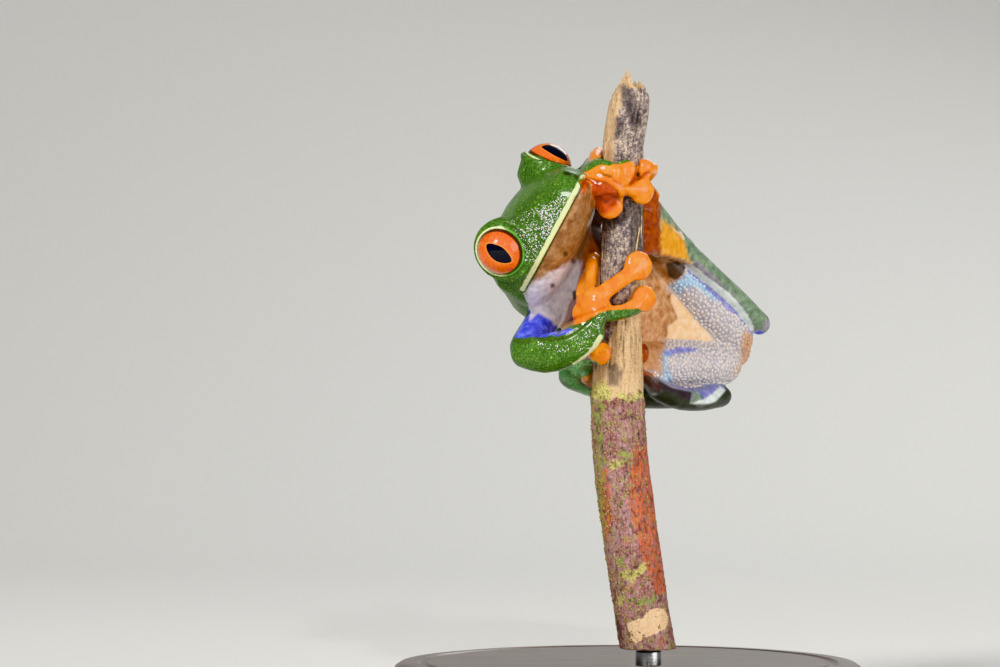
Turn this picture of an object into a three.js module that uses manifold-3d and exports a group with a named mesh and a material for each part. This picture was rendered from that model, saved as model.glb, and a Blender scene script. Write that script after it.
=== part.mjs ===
// A red-eyed tree frog, life size, clinging to an upright length of stick on a small round stand.
// Millimetres, +Z up, origin at the centre of the underside of the base.
// The frog is one animal parted at its joints, so every piece keeps a thin gap to its neighbours.

import * as THREE from 'three';
import { mergeVertices } from 'three/addons/utils/BufferGeometryUtils.js';
import Module from 'manifold-3d';

const wasm = await Module();
wasm.setup();

// ---------------------------------------------------------------- driving dimensions

const gap = 0.3;                 // clearance between one piece and the next
const at = (x, y, z) => new THREE.Vector3(x, y, z);

const baseRadius = 30;
const baseThickness = 6;
const baseChamfer = 0.8;
const baseSides = 48;
const rodRadius = 1.6;
const rodSides = 20;
const rodFootSink = 0.3;

// the stick: height, sideways place and radius down its length; it stands in one plane
const stickDepth = -10;
const stickFoot = 8.4;
const stickProfile = [
  [78.4, 0.15, 1.35], [76.9, 0.1, 2.05], [75.3, 0.0, 2.42], [73.4, -0.27, 2.53], [69.5, -0.79, 2.5],
  [57.0, -0.91, 2.62], [48.4, -1.28, 2.74], [41.7, -1.52, 3.08], [39.7, -1.58, 3.17], [34.5, -1.34, 3.29],
  [31.7, -1.15, 3.35], [28.2, -0.79, 3.35], [24.4, -0.27, 3.38], [19.5, 0.49, 3.4], [13.4, 1.35, 3.3],
  [stickFoot, 2.25, 3.36],
];
const stickSides = 18;
const stickKnobs = [{ waves: 3, twist: 0.35, height: 0.1 }, { waves: 7, twist: -0.9, height: 0.07 }];

// the broken top: bites out of the wood, and the splinters that stand between them
const stickBites = [
  { x: 0.75, depth: 0, z: 78.6, radii: [0.95, 3.4, 2.1] },
  { x: 2.6, depth: 0.4, z: 77.6, radii: [0.6, 3.4, 1.7] },
  { x: -2.35, depth: 0, z: 77.8, radii: [0.65, 3.4, 1.9] },
];
const stickSplinters = [
  { x: -1.0, depth: 0.1, z: 77.4, radii: [0.75, 0.95, 2.0] },
  { x: 1.55, depth: -0.3, z: 76.0, radii: [0.6, 0.9, 1.6] },
];

// the head's own frame: forward, left and up, with its origin at the tip of the upper lip
const snoutTip = at(-6.2, -16.8, 64.4);
const headForward = at(0.26, -0.83, 0.48);
const headLeft = at(0.39, 0.55, 0.73);
const headSides = 26;

// distance behind the lip, half width at the lip, height above it, depth below it
const headProfile = [
  [0.15, 1.0, 1.0, 0.5],
  [0.7, 2.0, 2.0, 0.95],
  [1.6, 3.0, 2.95, 1.35],
  [3.0, 4.25, 3.95, 2.0],
  [5.0, 5.6, 4.9, 2.7],
  [7.4, 6.8, 5.85, 3.1],
  [10.0, 7.75, 6.45, 3.4],
  [12.6, 8.25, 6.75, 3.7],
  [15.0, 8.25, 6.65, 4.0],
  [16.6, 7.75, 6.1, 4.0],
  [17.8, 6.3, 4.9, 3.4],
  [18.5, 3.8, 2.9, 2.1],
];
const headWidest = 14;
const mouthCorner = 13.1;        // how far back the mouth runs
const mouthGroove = 0.32;        // height of the line between the lips
const mouthDepth = 0.55;
const lipRadius = 0.34;
const lipRise = 0.27;            // middle of the upper lip's bead above the mouth line
const lipSeat = 0.985;           // share of the head's width at which that bead runs
const lipBacks = [mouthCorner, 10.5, 7.4, 5.0, 3.0, 1.6, 0.7];
const grooveTop = -0.05;
const grooveShare = { inner: 0.93, outer: 1.2, front: 1 };
const lipSides = 5;
const lipSteps = 24;

const browSeat = { back: 9.2, out: 6.66, up: 4.3 };
const eyeSeat = { back: 9.37, out: 6.91, up: 4.72 };
const eyeLook = { forward: 0.5, out: 0.85, up: 0.15 };
const eyeRadius = 3.05;
const eyeBack = 0.35;            // where the eyeball is cut off behind its widest ring
const eyeOpening = 2.9;
const eyeSides = 20;
const browRadius = 3.9;          // the swelling of the head that holds the eye
const lidRadius = 0.3;
const lidHeight = 0.85;          // how far out along its look the eyeball leaves the lids
const lidSeat = 0.26;            // middle of the lid's rim outside the opening
const lidSink = 0.25;            // how deep inside the rim the opening starts
const lidSlope = 0.5;            // how far the brow's face falls away outside the rim

const nostril = { back: 1.75, out: 1.6, up: 2.65, pit: 0.34, swell: 0.75, seat: 0.35 };
const eardrum = { back: 14.4, out: 7.6, up: 2.3, radius: 1.3, raise: 0.75 };

// ---------------------------------------------------------------- solids

function closedGeometry(points, faces) {
  const geometry = new THREE.BufferGeometry();
  const positions = new Float32Array(points.flatMap((p) => [p.x, p.y, p.z]));
  geometry.setAttribute('position', new THREE.BufferAttribute(positions, 3));
  geometry.setIndex(faces);
  return geometry;
}

function signedVolume(geometry) {
  const p = geometry.attributes.position;
  const index = geometry.index.array;
  const [a, b, c] = [at(0, 0, 0), at(0, 0, 0), at(0, 0, 0)];
  let volume = 0;
  for (let i = 0; i < index.length; i += 3) {
    a.fromBufferAttribute(p, index[i]);
    b.fromBufferAttribute(p, index[i + 1]);
    c.fromBufferAttribute(p, index[i + 2]);
    volume += a.dot(b.cross(c)) / 6;
  }
  return volume;
}

function toSolid(source) {
  const bare = source.clone();
  bare.deleteAttribute('normal');
  bare.deleteAttribute('uv');
  const geometry = mergeVertices(bare, 1e-5);
  const triVerts = new Uint32Array(geometry.index.array);
  if (signedVolume(geometry) < 0) {
    for (let i = 0; i < triVerts.length; i += 3) {
      [triVerts[i], triVerts[i + 1]] = [triVerts[i + 1], triVerts[i]];
    }
  }
  const vertProperties = new Float32Array(geometry.attributes.position.array);
  return new wasm.Manifold(new wasm.Mesh({ numProp: 3, vertProperties, triVerts }));
}

function toGeometry(solid) {
  const mesh = solid.getMesh();
  const geometry = new THREE.BufferGeometry();
  geometry.setAttribute('position', new THREE.BufferAttribute(new Float32Array(mesh.vertProperties), 3));
  geometry.setIndex(new THREE.BufferAttribute(new Uint32Array(mesh.triVerts), 1));
  geometry.computeVertexNormals();
  return geometry;
}

const join = (solids) => solids.reduce((whole, piece) => whole.add(piece));

function largest(solid) {
  const volume = (piece) => signedVolume(toGeometry(piece));
  return solid.decompose().reduce((best, piece) => (volume(piece) > volume(best) ? piece : best));
}

// rings of equal count, closed by a point at each end
function skinRings(rings, startPole, endPole) {
  const sides = rings[0].length;
  const points = [startPole, ...rings.flat(), endPole];
  const last = points.length - 1;
  const faces = [];
  for (let i = 0; i < sides; i += 1) {
    const j = (i + 1) % sides;
    faces.push(0, 1 + j, 1 + i);
    for (let r = 0; r < rings.length - 1; r += 1) {
      const a = 1 + r * sides;
      const b = a + sides;
      faces.push(a + i, a + j, b + j, a + i, b + j, b + i);
    }
    const end = 1 + (rings.length - 1) * sides;
    faces.push(end + i, end + j, last);
  }
  return toSolid(closedGeometry(points, faces));
}

// one rounded section: half width to each side, its own height above and below, squareness as a power
function section(centre, side, up, width, top, bottom, sides, power = 2) {
  const ring = [];
  for (let i = 0; i < sides; i += 1) {
    const angle = (i / sides) * Math.PI * 2;
    const c = Math.cos(angle);
    const s = Math.sin(angle);
    const across = Math.sign(c) * Math.abs(c) ** (2 / power) * width;
    const rise = Math.sign(s) * Math.abs(s) ** (2 / power) * (s > 0 ? top : bottom);
    ring.push(centre.clone().addScaledVector(side, across).addScaledVector(up, rise));
  }
  return ring;
}

// a limb: a smooth run through points, with half width and half thickness at each, round at both ends
function limb(points, sizes, up, sides, steps, grow = 0) {
  const run = new THREE.CatmullRomCurve3(points, false, 'centripetal');
  const size = new THREE.CatmullRomCurve3(sizes.map(([w, h]) => at(w, h, 0)), false, 'centripetal');
  const capRings = sides > 8 ? 3 : 2;
  const rings = [];
  const frame = (t) => {
    const forward = run.getTangent(t).normalize();
    const side = new THREE.Vector3().crossVectors(up, forward).normalize();
    return { forward, side, rise: new THREE.Vector3().crossVectors(forward, side) };
  };
  const ring = (t, offset, scale) => {
    const { forward, side, rise } = frame(t);
    const centre = run.getPoint(t).addScaledVector(forward, offset);
    const { x, y } = size.getPoint(t);
    const [w, h] = [(x + grow) * scale, (y + grow) * scale];
    return section(centre, side, rise, w, h, h, sides);
  };
  const reach = (t) => {
    const { x, y } = size.getPoint(t);
    return Math.min(x, y) + grow;
  };
  for (let k = 1; k < capRings; k += 1) {
    const lift = (k / capRings) * (Math.PI / 2);
    rings.push(ring(0, -reach(0) * Math.cos(lift), Math.sin(lift)));
  }
  for (let k = 0; k <= steps; k += 1) {
    rings.push(ring(k / steps, 0, 1));
  }
  for (let k = capRings - 1; k > 0; k -= 1) {
    const lift = (k / capRings) * (Math.PI / 2);
    rings.push(ring(1, reach(1) * Math.cos(lift), Math.sin(lift)));
  }
  const start = run.getPoint(0).addScaledVector(frame(0).forward, -reach(0));
  const end = run.getPoint(1).addScaledVector(frame(1).forward, reach(1));
  return skinRings(rings, start, end);
}

function ball(centre, radii, axes = null, wide = 16, high = 10) {
  const geometry = new THREE.SphereGeometry(1, wide, high);
  const [x, y, z] = axes ?? [at(1, 0, 0), at(0, 1, 0), at(0, 0, 1)];
  const turn = new THREE.Matrix4().makeBasis(
    x.clone().multiplyScalar(radii[0]),
    y.clone().multiplyScalar(radii[1]),
    z.clone().multiplyScalar(radii[2]),
  );
  geometry.applyMatrix4(turn.setPosition(centre));
  return toSolid(geometry);
}

// a turned form about an axis from a point, its profile given as [radius, height]
function turned(centre, axis, profile, sides) {
  const geometry = new THREE.LatheGeometry(profile.map(([r, h]) => new THREE.Vector2(r, h)), sides);
  const turn = new THREE.Quaternion().setFromUnitVectors(at(0, 1, 0), axis.clone().normalize());
  geometry.applyQuaternion(turn);
  geometry.translate(centre.x, centre.y, centre.z);
  return toSolid(geometry);
}

// ---------------------------------------------------------------- stand and stick

function standBase() {
  const profile = [
    [0, 0], [baseRadius - baseChamfer, 0], [baseRadius, baseChamfer],
    [baseRadius, baseThickness - baseChamfer], [baseRadius - baseChamfer, baseThickness], [0, baseThickness],
  ];
  return turned(at(0, 0, 0), at(0, 0, 1), profile, baseSides);
}

function standRod() {
  const foot = baseThickness + rodFootSink;
  const top = stickFoot - gap;
  const [, footX] = stickProfile.at(-1);
  const profile = [[0, foot], [rodRadius, foot], [rodRadius, top], [0, top]];
  return turned(at(footX, stickDepth, 0), at(0, 0, 1), profile, rodSides);
}

// centre and radius of the stick at a height
function stickAt(z) {
  const below = stickProfile.findIndex(([height]) => height <= z);
  const i = Math.min(Math.max(below, 1), stickProfile.length - 1);
  const [z0, x0, r0] = stickProfile[i - 1];
  const [z1, x1, r1] = stickProfile[i];
  const t = THREE.MathUtils.clamp((z - z0) / (z1 - z0), 0, 1);
  return { x: THREE.MathUtils.lerp(x0, x1, t), radius: THREE.MathUtils.lerp(r0, r1, t) };
}

// a place beside the stick: the angle is 0 in front, +90 on its right and 180 behind
function onStick(angle, z, clear) {
  const { x, radius } = stickAt(z);
  const a = THREE.MathUtils.degToRad(angle);
  const reach = radius + gap + clear;
  return at(x + reach * Math.sin(a), stickDepth - reach * Math.cos(a), z);
}

function stickForm(grow = 0) {
  const knobs = (angle, z) => stickKnobs.reduce(
    (sum, { waves, twist, height }) => sum + height * Math.sin(waves * angle + twist * z),
    0,
  );
  const rings = stickProfile.map(([z, x, r]) => {
    const ring = [];
    for (let i = 0; i < stickSides; i += 1) {
      const a = (i / stickSides) * Math.PI * 2;
      const reach = r + grow + knobs(a, z);
      ring.push(at(x + reach * Math.cos(a), stickDepth + reach * Math.sin(a), z));
    }
    return ring;
  });
  const [topZ, topX] = stickProfile[0];
  const [, footX] = stickProfile.at(-1);
  return skinRings(rings, at(topX - 0.3, stickDepth, topZ + 0.4), at(footX, stickDepth, stickFoot));
}

function stickWhole() {
  const piece = ({ x, depth, z, radii }) => ball(at(x, stickDepth + depth, z), radii, null, 10, 8);
  const bitten = stickBites.reduce((stick, bite) => stick.subtract(piece(bite)), stickForm());
  return join([bitten, ...stickSplinters.map(piece)]);
}

// ---------------------------------------------------------------- head

const forward = headForward.clone().normalize();
const left = headLeft.clone().addScaledVector(forward, -headLeft.dot(forward)).normalize();
const up = new THREE.Vector3().crossVectors(forward, left);

// a point of the head: back from the lip, out to the left, up from the lip
function headPoint(back, out, rise) {
  const sideways = snoutTip.clone().addScaledVector(forward, -back).addScaledVector(left, out);
  return sideways.addScaledVector(up, rise);
}

function lipWidth(back) {
  const next = headProfile.findIndex(([b]) => b >= back);
  const i = Math.max(next, 1);
  const [b0, w0] = headProfile[i - 1];
  const [b1, w1] = headProfile[i];
  return THREE.MathUtils.lerp(w0, w1, THREE.MathUtils.clamp((back - b0) / (b1 - b0), 0, 1));
}

function skull(grow) {
  const rings = headProfile.map(([back, w, top, bottom]) => {
    const centre = headPoint(back > headWidest ? back + grow : back, 0, 0);
    return section(centre, left, up, w + grow, top + grow, bottom + grow, headSides, 2.35);
  });
  const endBack = headProfile.at(-1)[0];
  return skinRings(rings, headPoint(-0.05 - grow, 0, 0.1), headPoint(endBack + 0.2 + grow, 0, 0.3));
}

const seated = (seat, sign) => headPoint(seat.back, sign * seat.out, seat.up);
const eyeCentre = (sign) => seated(eyeSeat, sign);

function eyeAxis(sign) {
  return new THREE.Vector3()
    .addScaledVector(forward, eyeLook.forward)
    .addScaledVector(left, sign * eyeLook.out)
    .addScaledVector(up, eyeLook.up)
    .normalize();
}

// the eyeball: a ball cut flat behind its widest ring
function eyeForm(sign, grow = 0) {
  const radius = eyeRadius + grow;
  const back = -eyeBack - grow;
  const profile = [[0, back]];
  const start = Math.asin(back / radius);
  const arcs = 6;
  for (let i = 0; i <= arcs; i += 1) {
    const a = start + (i / arcs) * (Math.PI / 2 - start);
    profile.push([i === arcs ? 0 : radius * Math.cos(a), radius * Math.sin(a)]);
  }
  return turned(eyeCentre(sign), eyeAxis(sign), profile, eyeSides);
}

function lidRing(sign) {
  const profile = [];
  const turns = 5;
  for (let i = 0; i <= turns; i += 1) {
    const a = (i / turns) * Math.PI * 2;
    const radius = eyeOpening + lidSeat + lidRadius * Math.cos(a);
    profile.push([radius, lidHeight + lidRadius * Math.sin(a)]);
  }
  profile[turns] = profile[0];
  return turned(eyeCentre(sign), eyeAxis(sign), profile, eyeSides);
}

function lidOpening(sign) {
  const floor = lidHeight - lidSink;
  const flare = browRadius + 1;
  const rim = [[eyeOpening, floor], [eyeOpening, lidHeight], [flare, lidHeight + lidSlope], [flare, flare]];
  const profile = [[0, floor], ...rim, [0, flare]];
  return turned(eyeCentre(sign), eyeAxis(sign), profile, eyeSides);
}

// the mouth line follows the plan of the lips from one corner round the snout to the other
function lipRun() {
  const right = lipBacks.map((b) => [b, -lipWidth(b)]);
  const leftSide = [...lipBacks].reverse().map((b) => [b, lipWidth(b)]);
  return [...right, [-0.02, 0], ...leftSide];
}

function upperLip(grow = 0) {
  const points = lipRun().map(([back, out]) => headPoint(back, out * lipSeat, lipRise));
  return limb(points, points.map(() => [lipRadius, lipRadius]), up, lipSides, lipSteps, grow);
}

function mouthLine() {
  const run = lipRun();
  const shape = new THREE.Shape();
  const inner = run.map(([back, out]) => [back + mouthDepth, out * grooveShare.inner]);
  const outer = run.map(([back, out]) => [back - grooveShare.front, out * grooveShare.outer]);
  const outline = [...outer, ...inner.reverse()];
  outline.forEach(([back, out], i) => (i ? shape.lineTo(-back, out) : shape.moveTo(-back, out)));
  shape.closePath();
  const geometry = new THREE.ExtrudeGeometry(shape, { depth: mouthGroove, bevelEnabled: false });
  const turn = new THREE.Matrix4().makeBasis(forward, left, up);
  geometry.applyMatrix4(turn.setPosition(headPoint(0, 0, grooveTop - mouthGroove)));
  return toSolid(geometry);
}

function headForm(grow = 0) {
  const brows = [1, -1].map((sign) => ball(seated(browSeat, sign), Array(3).fill(browRadius + grow), null, 18, 10));
  const drums = [1, -1].map((sign) => {
    const centre = headPoint(eardrum.back, sign * eardrum.out, eardrum.up);
    const radii = [eardrum.radius, eardrum.radius, eardrum.raise].map((r) => r + grow);
    return ball(centre, radii, [forward, up, left], 12, 5);
  });
  return join([skull(grow), ...brows, ...drums]);
}

function headWhole() {
  let head = join([headForm(), upperLip()]);
  for (const sign of [1, -1]) {
    const nose = headPoint(nostril.back, sign * nostril.out, nostril.up);
    const swelling = nose.clone().addScaledVector(up, -nostril.seat);
    head = head.add(ball(swelling, Array(3).fill(nostril.swell), null, 8, 6));
    head = head.subtract(lidOpening(sign));
    head = head.add(lidRing(sign));
    head = head.subtract(eyeForm(sign, gap));
    const pit = nose.clone().addScaledVector(left, sign * nostril.seat);
    head = head.subtract(ball(pit, Array(3).fill(nostril.pit), null, 8, 6));
  }
  return head.subtract(mouthLine());
}

// ---------------------------------------------------------------- torso

const neck = at(-10.2, -3.5, 57.1);
const vent = at(15.4, 19.0, 44.4);
const chestForward = at(-0.234, -0.849, 0.474);
const chestLeft = at(0.285, 0.447, 0.848);
const pelvisForward = at(-0.67, -0.655, 0.35);
const pelvisLeft = at(0.167, 0.325, 0.93);

// place along the back from neck to vent, half width, height to the back, depth to the belly
const torsoProfile = [
  [-0.12, 7.0, 5.4, 3.6],
  [-0.03, 8.0, 6.1, 4.3],
  [0.08, 8.0, 5.8, 5.0],
  [0.22, 7.4, 5.4, 5.6],
  [0.38, 7.3, 5.2, 5.7],
  [0.52, 6.8, 5.2, 5.0],
  [0.64, 6.0, 5.2, 4.0],
  [0.76, 5.0, 4.7, 3.1],
  [0.88, 3.9, 3.9, 2.4],
  [0.96, 2.9, 3.0, 1.9],
  [1.0, 1.7, 1.8, 1.3],
];

const torsoSides = 22;

function torsoForm(grow = 0) {
  const chord = neck.distanceTo(vent);
  const pull = chord / 3;
  const spine = new THREE.CubicBezierCurve3(
    neck,
    neck.clone().addScaledVector(chestForward, -pull),
    vent.clone().addScaledVector(pelvisForward, pull),
    vent,
  );
  const rings = torsoProfile.map(([t, w, top, bottom]) => {
    const inside = Math.max(t, 0);
    const tangent = spine.getTangent(inside);
    const centre = spine.getPoint(inside).addScaledVector(tangent, (t - inside) * chord);
    const side = chestLeft.clone().lerp(pelvisLeft, inside);
    side.addScaledVector(tangent, -side.dot(tangent)).normalize();
    const back = new THREE.Vector3().crossVectors(side, tangent).negate();
    const rise = back.dot(at(-1, 0.3, 0)) > 0 ? back : back.negate();
    return section(centre, side, rise, w + grow, top + grow, bottom + grow, torsoSides, 2.15);
  });
  const tip = vent.clone().addScaledVector(pelvisForward, -0.7 - grow);
  const start = neck.clone().addScaledVector(chestForward, 0.12 * chord + 1 + grow);
  return skinRings(rings, start, tip);
}

// ---------------------------------------------------------------- limbs

// each limb piece: points, half width and half thickness at each point, and which way is its back
const limbs = {
  thigh_left: {
    points: [at(14.1, 16.2, 46.2), at(10.7, 12.4, 49.5), at(7.0, 9.0, 53.5), at(3.1, 6.6, 57.8)],
    sizes: [[2.5, 2.4], [2.9, 2.7], [2.5, 2.4], [1.9, 1.9]],
    back: at(-0.2, 0.2, 1),
  },
  thigh_right: {
    points: [at(12.3, 15.4, 43.0), at(7.2, 9.5, 43.2), at(0.7, 2.8, 42.9), at(-6.2, -2.8, 43.1)],
    sizes: [[2.8, 2.7], [3.0, 2.8], [2.7, 2.5], [1.9, 1.9]],
    back: at(0, 0, -1),
  },
  upper_arm_right: {
    points: [at(-9.6, -2.4, 50.6), at(-10.8, -5.6, 48.2), at(-12.2, -9.6, 46.1), at(-12.9, -11.4, 45.1)],
    sizes: [[2.2, 2.2], [1.9, 1.9], [1.8, 1.8], [1.7, 1.7]],
    back: at(-0.7, 0.2, -0.7),
  },
  forearm_right: {
    points: [at(-12.6, -12.0, 44.6), at(-10.0, -13.3, 44.4), at(-7.1, -14.6, 45.4), at(-4.8, -15.2, 47.0)],
    sizes: [[2.0, 1.95], [2.3, 2.1], [2.1, 1.85], [1.7, 1.45]],
    back: at(0, -1, 0),
  },
  hand_right: {
    points: [at(-4.8, -15.1, 47.6), at(-5.0, -14.8, 49.2), at(-4.3, -14.0, 50.7)],
    sizes: [[1.8, 1.2], [2.6, 1.05], [2.0, 0.9]],
    back: at(-0.6, -0.8, 0),
  },
  upper_arm_left: {
    points: [at(-5.4, 2.2, 60.4), at(-4.2, 0.8, 63.0), at(-3.6, -0.8, 65.4), at(-3.6, -2.0, 66.5)],
    sizes: [[2.0, 2.0], [1.8, 1.8], [1.7, 1.7], [1.5, 1.5]],
    back: at(0, 1, 0),
  },
  forearm_left: {
    points: [at(-3.6, -2.2, 66.7), at(-4.1, -4.8, 67.1), at(-4.5, -8.4, 66.7), at(-4.7, -11.8, 66.3)],
    sizes: [[1.6, 1.5], [1.55, 1.45], [1.35, 1.3], [1.25, 1.15]],
    back: at(-1, 0, 0.2),
  },
  hand_left: {
    points: [at(-4.75, -13.4, 66.1), at(-3.8, -14.6, 65.7), at(-2.4, -15.1, 65.1)],
    sizes: [[1.7, 1.0], [2.2, 1.05], [2.3, 0.95]],
    back: at(-0.45, -0.9, 0),
  },
  shank_left: {
    points: [at(3.4, 7.8, 59.4), at(7.4, 12.6, 56.6), at(12.4, 16.4, 52.0), at(17.5, 18.3, 48.1)],
    sizes: [[1.8, 1.8], [2.1, 2.0], [1.8, 1.7], [1.35, 1.35]],
    back: at(-0.2, 0.2, 1),
  },
  tarsus_left: {
    points: [at(17.0, 15.4, 48.4), at(14.1, 12.2, 51.1), at(11.1, 9.2, 53.8), at(8.4, 6.4, 56.4)],
    sizes: [[1.35, 1.3], [1.45, 1.35], [1.45, 1.3], [1.35, 1.15]],
    back: at(0.6, 0, 0.8),
  },
  foot_left: {
    points: [at(7.9, 5.5, 57.0), at(6.2, 2.6, 58.0), at(4.6, -0.2, 59.2), at(3.1, -3.0, 60.2)],
    sizes: [[1.4, 0.95], [2.2, 0.8], [3.1, 0.65], [4.0, 0.6]],
    back: at(0.93, -0.37, 0.1),
  },
  shank_right: {
    points: [at(-6.8, -2.7, 41.7), at(0.0, 4.1, 39.6), at(6.5, 10.0, 39.1), at(11.9, 15.8, 39.0)],
    sizes: [[1.75, 1.75], [2.1, 1.9], [1.8, 1.7], [1.35, 1.35]],
    back: at(0, 0, -1),
  },
  tarsus_right: {
    points: [at(12.3, 13.8, 38.8), at(9.1, 9.0, 38.4), at(6.0, 5.0, 38.8), at(3.3, 2.0, 40.1)],
    sizes: [[1.35, 1.3], [1.45, 1.3], [1.4, 1.25], [1.3, 1.1]],
    back: at(0, -0.5, -0.8),
  },
  foot_right: {
    points: [at(3.1, 1.6, 40.3), at(2.2, -0.6, 41.0), at(0.8, -2.8, 41.8), at(-0.4, -4.6, 42.8)],
    sizes: [[1.4, 0.95], [1.8, 0.8], [2.3, 0.65], [2.6, 0.6]],
    back: at(0.6, 0.75, 0),
  },
};

const limbSides = 13;
const limbSteps = 7;
const palmSides = 10;
const palmSteps = 5;

function limbForm(name, grow = 0) {
  const { points, sizes, back } = limbs[name];
  const flat = name.startsWith('hand') || name.startsWith('foot');
  const [sides, steps] = flat ? [palmSides, palmSteps] : [limbSides, limbSteps];
  return limb(points, sizes, back.clone().normalize(), sides, steps, grow);
}

// each finger or toe: where it leaves the hand or foot, the way it takes round the stick as steps of
// [angle, height, clearance], the radius of the round pad that it ends in, and its half thickness
const digits = {
  finger_right_1: [at(-6.0, -13.6, 50.0), [[-96, 52.8, 1.6], [-116, 55.4, 0.8]], 1.3, 0.7],
  finger_right_2: [at(-5.0, -14.4, 51.2), [[-66, 52.9, 1.1], [-88, 54.7, 0.7]], 1.45, 0.66],
  finger_right_3: [at(-4.2, -14.6, 50.9), [[-20, 52.4, 1.1], [6, 53.6, 1.0], [31, 55.0, 0.75]], 1.75, 0.9],
  finger_right_4: [at(-3.9, -14.9, 49.4), [[-8, 49.2, 1.1], [20, 49.8, 1.0], [49, 51.0, 0.75]], 1.6, 0.88],
  finger_left_1: [
    at(-4.4, -13.6, 66.8), [[-58, 68.0, 1.1], [-90, 68.5, 0.75], [-120, 68.5, 0.7]], 1.05, 0.64,
  ],
  finger_left_2: [at(-3.6, -14.8, 64.3), [[-44, 63.5, 1.2], [-28, 62.4, 0.75]], 1.7, 0.84],
  finger_left_3: [at(-1.6, -15.0, 64.4), [[6, 64.3, 1.2], [37, 64.1, 0.75]], 1.6, 0.9],
  finger_left_4: [at(-2.2, -15.4, 66.2), [[-12, 66.5, 1.5], [2, 66.3, 1.15]], 1.5, 0.88],
  toe_left_1: [at(3.0, -3.4, 57.4), [[148, 57.0, 1.1], [-178, 56.6, 0.7]], 1.15, 0.68],
  toe_left_2: [at(3.1, -3.6, 59.0), [[156, 59.2, 1.2], [-168, 59.4, 0.7]], 1.2, 0.7],
  toe_left_3: [at(3.1, -3.7, 60.7), [[162, 61.6, 1.4], [-176, 62.6, 1.0], [-152, 63.2, 0.7]], 1.25, 0.72],
  toe_left_4: [at(3.0, -3.7, 62.3), [[164, 64.2, 1.5], [180, 66.0, 1.0], [-168, 67.4, 0.7]], 1.3, 0.74],
  toe_left_5: [
    at(3.1, -3.4, 63.6), [[146, 65.4, 1.4], [110, 66.6, 0.9], [76, 67.0, 0.75], [46, 66.8, 0.7]], 1.15, 0.72,
  ],
  toe_right_1: [at(-1.6, -4.8, 44.2), [[-130, 45.2, 1.0], [-84, 45.4, 0.95], [-36, 44.4, 0.7]], 1.4, 0.76],
  toe_right_2: [at(-1.9, -5.0, 42.8), [[-140, 42.4, 1.0], [-116, 41.8, 0.7]], 1.2, 0.72],
  toe_right_3: [at(-1.0, -5.2, 41.6), [[-172, 40.0, 1.0], [-162, 38.4, 0.7]], 1.2, 0.68],
  toe_right_4: [at(0.4, -4.8, 41.2), [[166, 39.4, 1.0], [146, 38.0, 0.7]], 1.2, 0.68],
  toe_right_5: [at(1.2, -4.6, 43.6), [[158, 44.6, 1.0], [136, 44.4, 0.7]], 1.3, 0.72],
};
const digitSides = 6;
const digitSteps = 4;
const padSides = 10;
const padRings = 5;
const padThickness = 0.72;
const padTurn = 0.4;             // how far a pad in front turns its face outward to the front

function digitForm(name, grow = 0) {
  const [root, way, pad, thick] = digits[name];
  const points = [root, ...way.map(([angle, z, clear]) => onStick(angle, z, clear))];
  const sizes = points.map((_, i) => [thick + (i ? 0 : 0.2), thick]);
  const [endAngle] = way.at(-1);
  const tip = points.at(-1);
  const facing = THREE.MathUtils.degToRad(Math.abs(endAngle) < 60 ? endAngle * (1 - padTurn) : endAngle);
  const outward = at(Math.sin(facing), -Math.cos(facing), 0);
  const along = at(0, 0, 1);
  const across = new THREE.Vector3().crossVectors(along, outward);
  const run = limb(points, sizes, outward, digitSides, digitSteps, grow);
  const radii = [pad + grow, pad + grow, padThickness + grow];
  return run.add(ball(tip, radii, [across, along, outward], padSides, padRings));
}

// ---------------------------------------------------------------- parting and assembly

// nearer pieces come first: each later piece is cut back to keep the gap to all before it
const forms = [
  ['perch_stick', stickWhole, () => stickForm(gap)],
  ['head', headWhole, () => headForm(gap).add(upperLip(gap))],
];
for (const name of Object.keys(limbs)) {
  forms.push([name, () => limbForm(name), () => limbForm(name, gap)]);
  if (name === 'thigh_right') {
    forms.push(['torso', torsoForm, () => torsoForm(gap)]);
  }
}
for (const name of Object.keys(digits)) {
  forms.push([name, () => digitForm(name), () => digitForm(name, gap)]);
}

const group = new THREE.Group();

function addMesh(name, solid, colour, roughness) {
  const material = new THREE.MeshStandardMaterial({ color: colour, roughness, metalness: 0 });
  const mesh = new THREE.Mesh(toGeometry(solid), material);
  mesh.name = name;
  group.add(mesh);
}

const colours = [
  [/^perch/, '#6d5546', 0.85],
  [/^(finger|toe|hand|foot)/, '#ef8a17', 0.35],
  [/^(thigh|upper_arm)/, '#b9b5d6', 0.45],
  [/./, '#3f8a2c', 0.4],
];

const earlier = [];
for (const [name, whole, grown] of forms) {
  let solid = whole();
  for (const neighbour of earlier) {
    solid = solid.subtract(neighbour);
  }
  const [, colour, roughness] = colours.find(([pattern]) => pattern.test(name));
  addMesh(name, largest(solid), colour, roughness);
  earlier.push(grown());
}

for (const [name, sign] of [['eye_left', 1], ['eye_right', -1]]) {
  addMesh(name, eyeForm(sign), '#e4501a', 0.1);
}
addMesh('stand_base', standBase(), '#3a2a20', 0.45);
addMesh('stand_rod', standRod(), '#b8bcc0', 0.25);
group.children.at(-1).material.metalness = 1;

export default group;
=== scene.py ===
import math
import random

import bpy
import numpy as np
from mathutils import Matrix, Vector, noise
from mathutils.bvhtree import BVHTree


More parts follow.
